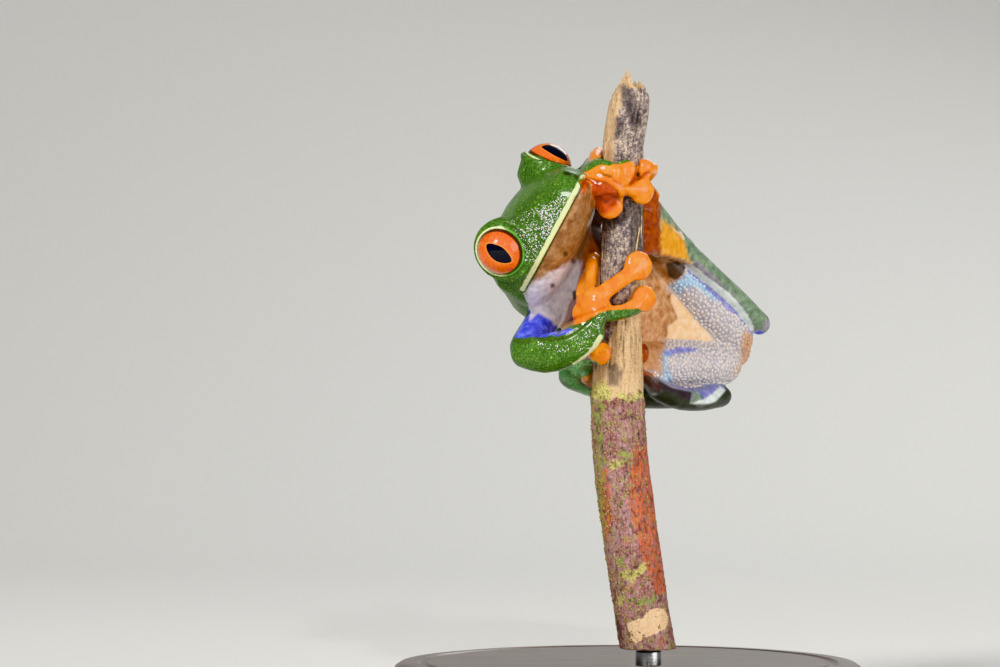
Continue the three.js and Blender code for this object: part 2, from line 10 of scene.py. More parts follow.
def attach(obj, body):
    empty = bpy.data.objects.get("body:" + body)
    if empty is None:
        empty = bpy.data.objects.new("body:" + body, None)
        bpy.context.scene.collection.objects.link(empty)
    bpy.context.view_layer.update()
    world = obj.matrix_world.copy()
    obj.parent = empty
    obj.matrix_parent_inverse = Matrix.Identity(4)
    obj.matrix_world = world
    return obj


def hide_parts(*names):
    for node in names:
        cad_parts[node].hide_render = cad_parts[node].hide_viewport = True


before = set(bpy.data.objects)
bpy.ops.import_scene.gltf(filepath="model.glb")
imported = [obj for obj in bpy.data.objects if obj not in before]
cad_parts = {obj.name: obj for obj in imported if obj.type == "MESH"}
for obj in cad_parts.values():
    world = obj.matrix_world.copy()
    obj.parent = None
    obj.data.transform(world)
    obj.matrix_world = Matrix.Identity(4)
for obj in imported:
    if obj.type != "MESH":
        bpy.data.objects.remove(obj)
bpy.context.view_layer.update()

mm = 0.001
print("frame loaded:", len(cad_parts), "nodes")


def pick(*things):
    # select only these, the first one active
    bpy.ops.object.select_all(action="DESELECT")
    for thing in things:
        thing.select_set(True)
    bpy.context.view_layer.objects.active = things[0]


def named(name):
    piece = bpy.context.object
    piece.name = name
    piece.data.name = name
    return piece


def applyAll(piece):
    pick(piece)
    bpy.ops.object.transform_apply(location=True, rotation=True, scale=True)


def applyModifiers(piece):
    pick(piece)
    for modifier in list(piece.modifiers):
        bpy.ops.object.modifier_apply(modifier=modifier.name)


def editAll(piece, *steps):
    # edit-mode steps on the whole mesh
    pick(piece)
    bpy.ops.object.mode_set(mode="EDIT")
    bpy.ops.mesh.select_all(action="SELECT")
    for step in steps:
        step()
    bpy.ops.object.mode_set(mode="OBJECT")


def closeMesh(piece):
    editAll(piece, lambda: bpy.ops.mesh.remove_doubles(threshold=0.001),
            lambda: bpy.ops.mesh.normals_make_consistent(inside=False))


def readRows(rows, key, width, kind=float):
    flat = np.zeros(len(rows) * width, dtype=kind)
    rows.foreach_get(key, flat)
    return flat.reshape(-1, width)


def readPoints(mesh):
    return readRows(mesh.vertices, "co", 3)


def writePoints(mesh, points):
    mesh.vertices.foreach_set("co", points.ravel())
    mesh.update()


def readNormals(mesh):
    return readRows(mesh.vertices, "normal", 3)


def meshTree(mesh):
    return BVHTree.FromPolygons(readPoints(mesh).tolist(), [list(p.vertices) for p in mesh.polygons])


def writeField(mesh, name, values):
    field = mesh.attributes.new(name, "FLOAT", "POINT")
    field.data.foreach_set("value", np.asarray(values, dtype=np.float32))


def unit(vector):
    vector = np.asarray(vector, dtype=float)
    return vector / np.linalg.norm(vector)


def spread(edges, values, rounds):
    # plain averaging over neighbours
    count = len(values)
    degree = np.bincount(edges.ravel(), minlength=count).reshape(-1, 1)
    for _ in range(rounds):
        total = np.empty_like(values)
        for axis, column in enumerate(values.T):
            total[:, axis] = np.bincount(edges[:, 0], weights=column[edges[:, 1]], minlength=count)
            total[:, axis] += np.bincount(edges[:, 1], weights=column[edges[:, 0]], minlength=count)
        values = 0.5 * values + 0.5 * total / np.maximum(degree, 1)
    return values


def relax(mesh, rounds, share=1.0):
    # smooths facets away and gives back the volume that smoothing takes from thin limbs
    points = readPoints(mesh)
    edges = readRows(mesh.edges, "vertices", 2, np.int64)
    calm = spread(edges, points, rounds)
    calm = calm + spread(edges, points - calm, rounds)
    writePoints(mesh, points + (calm - points) * np.reshape(share, (-1, 1)))


def smoothstep(low, high, value):
    t = np.clip((value - low) / (high - low), 0, 1)
    return t * t * (3 - 2 * t)


def interpolate(rows, value, column=1):
    rows = sorted(rows)
    return np.interp(value, [row[0] for row in rows], [row[column] for row in rows])


def linear(hexColour):
    # a screen colour as the linear one that Blender mixes
    values = [int(hexColour[i:i + 2], 16) / 255 for i in (0, 2, 4)]
    return tuple([((v + 0.055) / 1.055) ** 2.4 if v > 0.04 else v / 12.92 for v in values] + [1.0])


def outline(text):
    # picture places written as across,down
    return [tuple(float(number) for number in place.split(",")) for place in text.split()]


view = {
    "place": (-15.85, -510.0, 46.8),
    "lens": 147.6,
    "sensor": 36.0,
    "picture": (1000, 667),
}
perPixel = view["sensor"] / view["lens"] / view["picture"][0]
middleU, middleV = view["picture"][0] / 2, view["picture"][1] / 2


def addCamera():
    bpy.ops.object.camera_add(location=Vector(view["place"]) * mm, rotation=(math.pi / 2, 0, 0))
    camera = bpy.context.object
    camera.name = "camera"
    camera.data.sensor_width = view["sensor"]
    camera.data.sensor_fit = "HORIZONTAL"
    camera.data.lens = view["lens"]
    camera.data.clip_start = 0.01
    camera.data.clip_end = 20
    bpy.context.scene.camera = camera


def toPicture(points):
    # where world points in millimetres lie in the picture
    away = points - np.array(view["place"])
    return middleU + away[:, 0] / away[:, 1] / perPixel, middleV - away[:, 2] / away[:, 1] / perPixel


def viewRay(u, v):
    # the line of sight through a place of the picture, in millimetres
    way = Vector(((u - middleU) * perPixel, 1.0, (middleV - v) * perPixel))
    return Vector(view["place"]), way.normalized()


room = {
    "wide": 3.0,
    "front": -1.6,
    "back": 0.75,
    "rise": 1.9,
    "sweep": 0.45,
    "colour": "e6e5e1",
}


def selectEdges(piece, wanted):
    for edge in piece.data.edges:
        edge.select = all(wanted(piece.data.vertices[i].co) for i in edge.vertices)


def addRoom():
    bpy.ops.object.select_all(action="DESELECT")
    bpy.ops.mesh.primitive_plane_add(size=1, location=(0, (room["front"] + room["back"]) / 2, 0))
    floor = named("studio_floor")
    floor.scale = (room["wide"], room["back"] - room["front"], 1)
    applyAll(floor)
    bpy.ops.object.mode_set(mode="EDIT")
    bpy.ops.mesh.select_mode(type="EDGE")
    bpy.ops.mesh.select_all(action="DESELECT")
    bpy.ops.object.mode_set(mode="OBJECT")
    behind = room["back"] - 0.01
    selectEdges(floor, lambda end: end.y > behind)
    bpy.ops.object.mode_set(mode="EDIT")
    bpy.ops.mesh.extrude_region_move(TRANSFORM_OT_translate={"value": (0, 0, room["rise"])})
    bpy.ops.object.mode_set(mode="OBJECT")
    selectEdges(floor, lambda end: end.y > behind and end.z < 0.01)
    bpy.ops.object.mode_set(mode="EDIT")
    bpy.ops.mesh.bevel(offset=room["sweep"], segments=24, affect="EDGES")
    bpy.ops.object.mode_set(mode="OBJECT")
    pick(floor)
    bpy.ops.object.shade_smooth()
    material = bpy.data.materials.new("studio_paper")
    material.use_nodes = True
    shader = material.node_tree.nodes["Principled BSDF"]
    shader.inputs["Base Color"].default_value = linear(room["colour"])
    shader.inputs["Roughness"].default_value = 0.85
    floor.data.materials.append(material)


# name, place in metres, size, power and tint
lamps = [
    ("key_soft", (-0.34, -0.46, 0.42), 0.18, 3.9, (1.0, 0.98, 0.95)),
    ("front_small", (0.10, -0.60, 0.30), 0.03, 1.1, (1.0, 1.0, 1.0)),
    ("fill_soft", (0.45, -0.30, 0.16), 0.40, 2.0, (1.0, 0.98, 0.96)),
    ("rim_soft", (0.18, 0.42, 0.38), 0.30, 0.8, (0.96, 0.98, 1.0)),
]
air = {"aim": (0, -5, 50), "colour": (0.86, 0.88, 0.9, 1), "strength": 0.24}


def addLamps():
    for name, place, size, power, tint in lamps:
        turn = (Vector(air["aim"]) * mm - Vector(place)).to_track_quat("-Z", "Y").to_euler()
        bpy.ops.object.light_add(type="AREA", location=place, rotation=turn)
        light = bpy.context.object
        light.name = name
        light.data.shape = "DISK"
        light.data.size = size
        light.data.energy = power
        light.data.color = tint
    world = bpy.data.worlds.new("studio_air")
    bpy.context.scene.world = world
    world.use_nodes = True
    background = world.node_tree.nodes["Background"]
    background.inputs["Color"].default_value = air["colour"]
    background.inputs["Strength"].default_value = air["strength"]


addCamera()
addRoom()
addLamps()
bpy.context.scene.view_settings.view_transform = "Khronos PBR Neutral"
print("camera, floor and light are set")


# where the head and the limbs run, in millimetres
headFrame = {
    "tip": np.array([-6.2, -16.8, 64.4]),
    "forward": unit([0.26, -0.83, 0.48]),
    "left": np.array([0.39, 0.55, 0.73]),
    "mouthCorner": 13.1,
    "mouthWide": 8.25,
}
headFrame["left"] = unit(
    headFrame["left"] - headFrame["forward"] * np.dot(headFrame["left"], headFrame["forward"]))
headFrame["up"] = np.cross(headFrame["forward"], headFrame["left"])

# half width of the lips at a distance behind the snout
lipPlan = [(0.0, 0.0), (0.15, 1.0), (0.7, 2.0), (1.6, 3.0), (3.0, 4.25), (5.0, 5.6), (7.4, 6.8),
           (10.0, 7.75), (12.6, 8.25), (15.0, 8.25), (18.5, 7.0)]

eyePlan = {
    "back": 9.37, "out": 6.91, "up": 4.72,
    # the way each lid opens and the way each pupil looks; the left eye is turned further forward
    "look": {-1: (-0.336, -0.888, -0.315), 1: (0.36, -0.18, 0.915)},
    "gaze": {-1: (-0.181, -0.962, -0.205), 1: (0.375, -0.63, 0.68)},
    "radius": 3.05,
    "opening": 2.97,
    "lidTop": 3.2,
    "lidFoot": -1.6,
    "lidReach": 4.1,
    "rimHeight": 0.86,
    "rimSlope": 0.42,
    "foldAt": 3.55,         # the lower lid is a thicker fold
    "foldSize": 0.3,
    "pupilLong": 1.8,
    "pupilWide": 0.93,
    "pupilPower": 1.65,
    "pupilLean": {-1: 0.142, 1: 0.0},
}
nostril = {"back": 1.75, "out": 1.75, "rise": 2.45, "spread": 0.16, "depth": 0.34}
mouth = {"rise": -0.12, "wide": 0.2, "depth": 0.26, "reach": 1.1}


def headPlace(back, out, rise):
    return (headFrame["tip"] - headFrame["forward"] * back + headFrame["left"] * out
            + headFrame["up"] * rise)


def headPlan(points):
    # back, out and rise of world points
    away = points - headFrame["tip"]
    return (-away @ headFrame["forward"], away @ headFrame["left"], away @ headFrame["up"])


def eyeAxis(sign, way="look"):
    return unit(eyePlan[way][sign])


def eyeCentre(sign):
    return headPlace(eyePlan["back"], sign * eyePlan["out"], eyePlan["up"])


# the middle line of each limb piece, from the body outward
limbRuns = {
    "upper_arm_right": [(-9.6, -2.4, 50.6), (-10.8, -5.6, 48.2), (-12.2, -9.6, 46.1), (-12.9, -11.4, 45.1)],
    "forearm_right": [(-12.6, -12.0, 44.6), (-10.0, -13.3, 44.4), (-7.1, -14.6, 45.4), (-4.8, -15.2, 47.0)],
    "hand_right": [(-4.8, -15.1, 47.6), (-5.0, -14.8, 49.2), (-4.3, -14.0, 50.7)],
    "upper_arm_left": [(-5.4, 2.2, 60.4), (-4.2, 0.8, 63.0), (-3.6, -0.8, 65.4), (-3.6, -2.0, 66.5)],
    "forearm_left": [(-3.6, -2.2, 66.7), (-4.1, -4.8, 67.1), (-4.5, -8.4, 66.7), (-4.7, -11.8, 66.3)],
    "hand_left": [(-4.75, -13.4, 66.1), (-3.8, -14.6, 65.7), (-2.4, -15.1, 65.1)],
    "thigh_left": [(14.1, 16.2, 46.2), (10.7, 12.4, 49.5), (7.0, 9.0, 53.5), (3.1, 6.6, 57.8)],
    "thigh_right": [(12.3, 15.4, 43.0), (7.2, 9.5, 43.2), (0.7, 2.8, 42.9), (-6.2, -2.8, 43.1)],
    "shank_left": [(3.4, 7.8, 59.4), (7.4, 12.6, 56.6), (12.4, 16.4, 52.0), (17.5, 18.3, 48.1)],
    "shank_right": [(-6.8, -2.7, 41.7), (0.0, 4.1, 39.6), (6.5, 10.0, 39.1), (11.9, 15.8, 39.0)],
    "tarsus_left": [(17.0, 15.4, 48.4), (14.1, 12.2, 51.1), (11.1, 9.2, 53.8), (8.4, 6.4, 56.4)],
    "tarsus_right": [(12.3, 13.8, 38.8), (9.1, 9.0, 38.4), (6.0, 5.0, 38.8), (3.3, 2.0, 40.1)],
    "foot_left": [(7.9, 5.5, 57.0), (6.2, 2.6, 58.0), (4.6, -0.2, 59.2), (3.1, -3.0, 60.2)],
    "foot_right": [(3.1, 1.6, 40.3), (2.2, -0.6, 41.0), (0.8, -2.8, 41.8), (-0.4, -4.6, 42.8)],
}

torsoRun = {
    "neck": np.array([-10.2, -3.5, 57.1]),
    "vent": np.array([15.4, 19.0, 44.4]),
    "chestForward": np.array([-0.234, -0.849, 0.474]),
    "chestLeft": np.array([0.285, 0.447, 0.848]),
    "pelvisForward": np.array([-0.67, -0.655, 0.35]),
    "pelvisLeft": np.array([0.167, 0.325, 0.93]),
}

fleshNodes = [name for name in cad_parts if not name.startswith(("perch", "stand", "eye"))]


skinPlan = {
    "swell": 0.17,
    "voxel": 0.258,
    "calmRounds": 16,
    "lidRounds": 5,
}


def makeSkin():
    copies = []
    for name in fleshNodes:
        copied = bpy.data.objects.new("part_" + name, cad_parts[name].data.copy())
        copied.data.materials.clear()
        bpy.context.scene.collection.objects.link(copied)
        copies.append(copied)
    pick(*copies)
    bpy.ops.object.join()
    skin = named("frog_skin")
    skin.scale = (1 / mm, 1 / mm, 1 / mm)
    bpy.ops.object.transform_apply(scale=True)
    editAll(skin, lambda: bpy.ops.mesh.remove_doubles(threshold=0.002))
    swell = skin.modifiers.new("swell", "DISPLACE")
    swell.strength = skinPlan["swell"]
    swell.mid_level = 0
    remesh = skin.modifiers.new("one_surface", "REMESH")
    remesh.mode = "VOXEL"
    remesh.voxel_size = skinPlan["voxel"]
    applyModifiers(skin)
    # only the outer surface stays
    editAll(skin, lambda: bpy.ops.mesh.separate(type="LOOSE"))
    shells = [shell for shell in bpy.context.selected_objects if shell.type == "MESH"]
    shells.sort(key=lambda shell: len(shell.data.vertices))
    skin = shells.pop()
    for shell in shells:
        bpy.data.objects.remove(shell)
    skin.name = "frog_skin"
    skin.data.name = "frog_skin"
    relax(skin.data, skinPlan["calmRounds"])
    return skin


# folds of the skin: middle, the way across the fold, reach along it, depth and half width
creases = [
    ((-12.6, -13.4, 43.6), (1.0, -0.2, 0.6), 1.6, 0.16, 0.22),
    ((-11.4, -13.6, 43.4), (1.0, -0.2, 0.5), 1.5, 0.12, 0.2),
    ((-5.6, -16.4, 46.4), (0.6, 0.1, 0.8), 1.8, 0.14, 0.2),
    ((-5.2, -16.3, 47.3), (0.5, 0.1, 0.85), 1.7, 0.1, 0.18),
    ((-13.0, -8.6, 47.4), (0.3, 0.6, -0.8), 1.8, 0.14, 0.24),
    ((6.5, 3.0, 58.0), (0.4, 0.7, -0.6), 1.6, 0.1, 0.2),
    ((17.5, 17.0, 49.0), (0.5, 0.5, -0.6), 1.5, 0.14, 0.22),
]


def lidPlan(points, sign):
    # height along the lids' axis, distance from it, and the way outward
    away = points - eyeCentre(sign)
    height = away @ eyeAxis(sign)
    outward = away - height[:, None] * eyeAxis(sign)
    wide = np.maximum(np.linalg.norm(outward, axis=1), 1e-6)
    return height, wide, outward / wide[:, None], np.linalg.norm(away, axis=1)


def openLids(points):
    # nothing of the skin may lie over the eyeball inside the rim
    for sign in (1, -1):
        height, wide, outward, _ = lidPlan(points, sign)
        short = (height > 0.1) & (height < eyePlan["lidTop"]) & (wide < eyePlan["opening"])
        points = points + outward * np.where(short, eyePlan["opening"] - wide, 0)[:, None]
    return points


def sculptHead(points):
    # brings the lids to their rims, sinks the nostrils and presses in the line of the mouth
    lowerWay = -unit(headFrame["up"] + headFrame["forward"] * 0.4)
    for sign in (1, -1):
        height, wide, outward, away = lidPlan(points, sign)
        near = (height > eyePlan["lidFoot"]) & (height < eyePlan["lidTop"]) & (away > 3.3)
        near &= wide < eyePlan["lidReach"]
        opened = np.where(near & (height > 0.1), np.maximum(wide, eyePlan["opening"]), wide)
        rim = eyePlan["rimHeight"] - (opened - eyePlan["opening"]) * eyePlan["rimSlope"]
        lower = np.clip(outward @ lowerWay, 0, 1)
        fold = np.exp(-((opened - eyePlan["foldAt"]) / eyePlan["foldSize"]) ** 2)
        rim = rim + eyePlan["foldSize"] * lower * fold
        pull = np.where(near, smoothstep(eyePlan["lidReach"], 3.4, opened), 0)
        shift = eyeAxis(sign) * ((rim - height) * pull)[:, None]
        points = points + shift + outward * (opened - wide)[:, None]
        away = points - headPlace(nostril["back"], sign * nostril["out"], nostril["rise"])
        pit = np.exp(-np.sum(away ** 2, axis=1) / nostril["spread"]) * nostril["depth"]
        points = points - (headFrame["up"] * 0.7 + headFrame["left"] * sign * 0.7) * pit[:, None]
    back, out, rise = headPlan(points)
    beside = np.abs(np.abs(out) - interpolate(lipPlan, back))
    onLip = (beside < mouth["reach"]) & (back < headFrame["mouthCorner"] + 0.2) & (back > -0.8)
    press = np.exp(-((rise - mouth["rise"]) / mouth["wide"]) ** 2) * mouth["depth"] * onLip
    inward = headFrame["forward"] * -0.5 - headFrame["left"] * np.sign(out)[:, None] * 0.85
    return points + inward * press[:, None]


def sculptFolds(points, normals):
    for middle, across, reach, depth, wide in creases:
        away = points - np.array(middle)
        along = away @ unit(across)
        aside = np.linalg.norm(away - along[:, None] * unit(across), axis=1)
        press = depth * np.exp(-(along / wide) ** 2) * np.clip(1 - aside / reach, 0, 1)
        points = points - normals * press[:, None]
    return points


def hiddenDepth(points, tree):
    # how far behind the nearest skin a point lies, seen from the front
    eye = Vector(view["place"])
    deep = np.zeros(len(points))
    for i, point in enumerate(points.tolist()):
        way = Vector(point) - eye
        away = way.length
        hit = tree.ray_cast(eye, way, away)[3]
        deep[i] = 0 if hit is None else away - hit
    return deep


pixel = 1 / 8.2       # millimetres at the stick

# creases as the front view shows them: depth, half width and the line in picture places
drawnFolds = [
    (0.34, 0.22, "634,158 638,163 638.5,170 636,177 632,182.5"),
    (0.24, 0.18, "598,173 604,175 612,178 617,183 623,186 629,185"),
    (0.3, 0.2, "585,177 595,181 605,183 611,187 617,191 618,197"),
    (0.34, 0.22, "631,184 635,180 641,176.5 649,173"),
    (0.14, 0.3, "626,192 627,198 631,202"),
    (0.2, 0.2, "596,199 606,195 617,197 621,203"),
    (0.2, 0.2, "558,333 566,322 571,306 576,296"),
    (0.2, 0.18, "562,326 575,318 590,312 606,306"),
    (0.14, 0.18, "570,300 578,304 582,312"),
    (0.2, 0.2, "536,337 552,339 566,336 578,329 590,318"),
    (0.16, 0.2, "503,338 515,341 528,341"),
    (0.14, 0.16, "567,371 576,378 590,374 599,368"),
]


def lineDistance(u, v, places):
    nearest = np.full(len(u), np.inf)
    for (u0, v0), (u1, v1) in zip(places, places[1:]):
        du, dv = u1 - u0, v1 - v0
        share = np.clip(((u - u0) * du + (v - v0) * dv) / (du * du + dv * dv), 0, 1)
        nearest = np.minimum(nearest, np.hypot(u - u0 - share * du, v - v0 - share * dv))
    return nearest


def pressFolds(skin):
    points = readPoints(skin.data)
    u, v = toPicture(points)
    lines = np.array([lineDistance(u, v, outline(line)) * pixel / wide for depth, wide, line in drawnFolds])
    near = np.flatnonzero(lines.min(axis=0) < 2.6)
    seen = np.zeros(len(points))
    seen[near] = smoothstep(0.8, 0.4, hiddenDepth(points[near], meshTree(skin.data)))
    press = np.zeros(len(points))
    fold = np.zeros(len(points))
    for line, (depth, wide, drawn) in zip(lines, drawnFolds):
        press = np.maximum(press, depth * np.exp(-line ** 2) * seen)
        # painted shade along the creases, handed back to darken the colour there
        fold = np.maximum(fold, np.exp(-line ** 2 * 0.8) * seen * depth / 0.3)
    writePoints(skin.data, points - readNormals(skin.data) * press[:, None])
    return fold


skin = makeSkin()
writePoints(skin.data, sculptFolds(sculptHead(readPoints(skin.data)), readNormals(skin.data)))
lidAway = np.min([lidPlan(readPoints(skin.data), sign)[3] for sign in (1, -1)], axis=0)
relax(skin.data, skinPlan["lidRounds"], smoothstep(4.9, 4.3, lidAway))
writePoints(skin.data, openLids(readPoints(skin.data)))
foldShade = pressFolds(skin)
print("skin:", len(skin.data.vertices), "points", len(skin.data.polygons), "faces")


# every colour's field is a distance in millimetres, above nought inside it; later ones lie over earlier ones
# the last layer holds real dark spots and specks, and painted shade in the mouth line, the nostrils and the shaded
# gaps
layers = ["tan", "milk", "rust", "pearl", "clay", "sky", "dusk", "sage", "mist", "chalk", "violet", "honey", "amber",
          "ember", "fern", "leaf", "cream", "spots_and_shade"]
ground = 1.2          # how deep inside its own colour a piece lies where no other zone reaches


def lay(fields, colour, zone, under=0.9):
    # puts a zone down: what lies over it opens there, and it goes on a little beneath their edge
    above = layers[layers.index(colour) + 1:]
    covered = np.zeros(len(zone), dtype=bool)
    for name in above:
        if name != "spots_and_shade":
            covered |= fields[name] > 0
            fields[name] = np.minimum(fields[name], -zone)
    fields[colour] = np.maximum(fields[colour], zone + np.where(covered, under, 0))


# each limb piece: its ground colour, then zones as colour, the way it looks, and its edge as a cosine
limbMarks = {
    "upper_arm_right": ("leaf", [("violet", (0.8, -0.35, 0.6), 0.0)]),
    "forearm_right": ("leaf", [("violet", (0.25, 0.1, 1.0), 0.75), ("amber", (0.3, 1.0, 0.1), 0.35)]),
    "hand_right": ("amber", [("leaf", (0.45, -0.1, -0.9), 0.62)]),
    "upper_arm_left": ("violet", [("leaf", (-0.8, 0.3, 0.5), 0.0)]),
    "forearm_left": ("leaf", [("violet", (0.3, 0.1, -0.9), 0.3), ("amber", (0.9, -0.3, 0.0), 0.5)]),
    "hand_left": ("amber", [("leaf", (-0.2, 0.3, 1.0), 0.75)]),
    "thigh_left": ("mist", [("pearl", (0.35, -0.9, -0.25), -0.25), ("leaf", (-0.2, 0.5, 0.85), 0.8)]),
    "thigh_right": ("mist", [("pearl", (0.4, -0.85, 0.2), -0.35), ("leaf", (-0.3, 0.6, -0.7), 0.8)]),
    "shank_left": ("violet", [("leaf", (0.1, 0.6, 0.8), -0.15)]),
    "shank_right": ("dusk", [("sage", (-0.3, -0.3, -0.9), -0.1)]),
    "tarsus_left": ("sage", [("dusk", (-0.5, -0.6, -0.4), 0.35), ("mist", (-0.6, 0.3, -0.6), 0.7)]),
    "tarsus_right": ("dusk", [("sage", (0.1, -0.4, -0.9), 0.45), ("mist", (0.0, -0.3, 0.95), 0.75)]),
    "foot_left": ("honey", [("sage", (0.1, 0.5, 0.9), 0.75)]),
    # the right foot lies in shade: its ground is a painted shade of rust brown
    "foot_right": ("rust", [("sage", (-0.2, -0.3, -0.95), 0.7)]),
}

flank = {
    "greenEdge": -0.08,     # sine of the angle above the side at which the green back ends
    "violetEdge": -0.5,
    "from": 0.22,
    "to": 0.86,
    "barEvery": 3.1,
    "barShare": 0.34,
    "barSlant": 0.5,
}


def runPlan(run, points):
    # nearest place on a middle line: share along, and the vector out from it
    run = np.array(run, dtype=float)
    lengths = np.linalg.norm(np.diff(run, axis=0), axis=1)
    before = np.concatenate([[0], np.cumsum(lengths)])
    best = np.full(len(points), np.inf)
    share = np.zeros(len(points))
    outward = np.zeros_like(points)
    for i, length in enumerate(lengths):
        way = (run[i + 1] - run[i]) / length
        along = np.clip((points - run[i]) @ way, 0, length)
        out = points - run[i] - along[:, None] * way
        away = np.linalg.norm(out, axis=1)
        nearer = away < best
        best = np.where(nearer, away, best)
        share = np.where(nearer, (before[i] + along) / before[-1], share)
        outward = np.where(nearer[:, None], out, outward)
    return share, outward, best


def torsoPlan(points):
    # share from neck to vent, and the sine and size of the way out from the spine
    neck, vent = torsoRun["neck"], torsoRun["vent"]
    chord = np.linalg.norm(vent - neck)
    a = neck - torsoRun["chestForward"] * chord / 3
    b = vent + torsoRun["pelvisForward"] * chord / 3
    spine = []
    for i in range(25):
        t = i / 24
        spine.append(neck * (1 - t) ** 3 + a * 3 * t * (1 - t) ** 2 + b * 3 * t * t * (1 - t) + vent * t ** 3)
    share, outward, away = runPlan(spine, points)
    side = torsoRun["chestLeft"] * (1 - share[:, None]) + torsoRun["pelvisLeft"] * share[:, None]
    spineWay = unit(vent - neck)
    side = side - (side @ spineWay)[:, None] * spineWay
    side /= np.linalg.norm(side, axis=1)[:, None]
    rise = np.cross(side, spineWay)
    rise *= np.where(rise @ np.array([-1, 0.3, 0]) > 0, 1, -1)[:, None]
    return share, np.sum(outward * rise, axis=1), np.sum(outward * side, axis=1), away, chord


def emptyFields(count):
    return {name: np.full(count, -ground) for name in layers}


def clipped(fields):
    return {name: np.clip(values, -ground, ground) for name, values in fields.items()}


def headFields(points):
    fields = emptyFields(len(points))
    back, _, rise = headPlan(points)
    corner = headFrame["mouthCorner"]
    edge = 0.12 - np.clip(back - corner, 0, 6) * 0.55
    # the throat under the lip: partly its own tan, partly painted shade under the head
    fields["tan"] = np.minimum(0.6 - rise, 15.5 - back)
    fields["leaf"] = rise - edge
    fields["cream"] = np.minimum(0.3 - np.abs(rise - 0.27), corner - back)
    # painted shade: a thin dark line in the crease of the mouth, and dark pits at the nostrils
    fields["spots_and_shade"] = np.minimum(0.1 - np.abs(rise + 0.14), corner - 0.3 - back)
    for sign in (1, -1):
        nose = np.linalg.norm(points - headPlace(1.75, sign * 1.75, 2.5), axis=1)
        fields["spots_and_shade"] = np.maximum(fields["spots_and_shade"], 0.24 - nose)
    return clipped(fields)


def torsoFields(points):
    fields = emptyFields(len(points))
    share, rise, _, away, chord = torsoPlan(points)
    sine = rise / np.maximum(away, 0.1)
    reach = np.minimum(share - flank["from"], flank["to"] - share) * chord
    fields["violet"] = np.minimum((sine - flank["violetEdge"]) * away, reach)
    fields["leaf"] = (sine - flank["greenEdge"]) * away
    along = share * chord + rise * flank["barSlant"]
    bars = np.abs((along / flank["barEvery"]) % 1 - 0.5) * 2 - (1 - flank["barShare"])
    fields["cream"] = np.minimum(np.minimum(bars * flank["barEvery"] / 2, fields["violet"]), -fields["leaf"])
    return clipped(fields)


def limbFields(name, points):
    fields = emptyFields(len(points))
    main, zones = limbMarks[name]
    _, outward, away = runPlan(limbRuns[name], points)
    fields[main] = np.full(len(points), ground)
    for colour, way, edge in zones:
        cosine = (outward @ unit(way)) / np.maximum(away, 0.1)
        lay(fields, colour, (cosine - edge) * away)
    return clipped(fields)


def partTrees():
    # one nearest-surface tree for the head, the torso and each limb piece; fingers share one, toes another
    groups = {}
    for name in fleshNodes:
        key = "fingers" if name.startswith("finger") else "toes" if name.startswith("toe") else name
        groups.setdefault(key, []).append(name)
    trees = {}
    for key, names in groups.items():
        points, faces = [], []
        for name in names:
            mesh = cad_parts[name].data
            first = len(points)
            points += [v.co / mm for v in mesh.vertices]
            faces += [[first + i for i in p.vertices] for p in mesh.polygons]
        trees[key] = BVHTree.FromPolygons(points, faces)
    return trees


blendReach = 1.3      # how far from its edge a piece's colours still count


def skinFields(points, trees):
    far = 2.6
    away = {}
    for key, tree in trees.items():
        hits = [tree.find_nearest(p, far)[3] for p in points.tolist()]
        away[key] = np.array([far if hit is None else hit for hit in hits])
    nearest = np.min(list(away.values()), axis=0)
    total = {name: np.zeros(len(points)) for name in layers}
    weightSum = np.zeros(len(points))
    for key in trees:
        weight = np.clip(1 - (away[key] - nearest) / blendReach, 0, 1) ** 2
        weight[away[key] >= far] = 0
        near = weight > 0
        if key == "head":
            fields = headFields(points[near])
        elif key == "torso":
            fields = torsoFields(points[near])
        elif key in ("fingers", "toes"):
            fields = emptyFields(int(near.sum()))
            fields["amber"] += ground * 2
        else:
            fields = limbFields(key, points[near])
        weightSum[near] += weight[near]
        for name in layers:
            total[name][near] += fields[name] * weight[near]
    return {name: total[name] / np.maximum(weightSum, 1e-6) for name in layers}, away


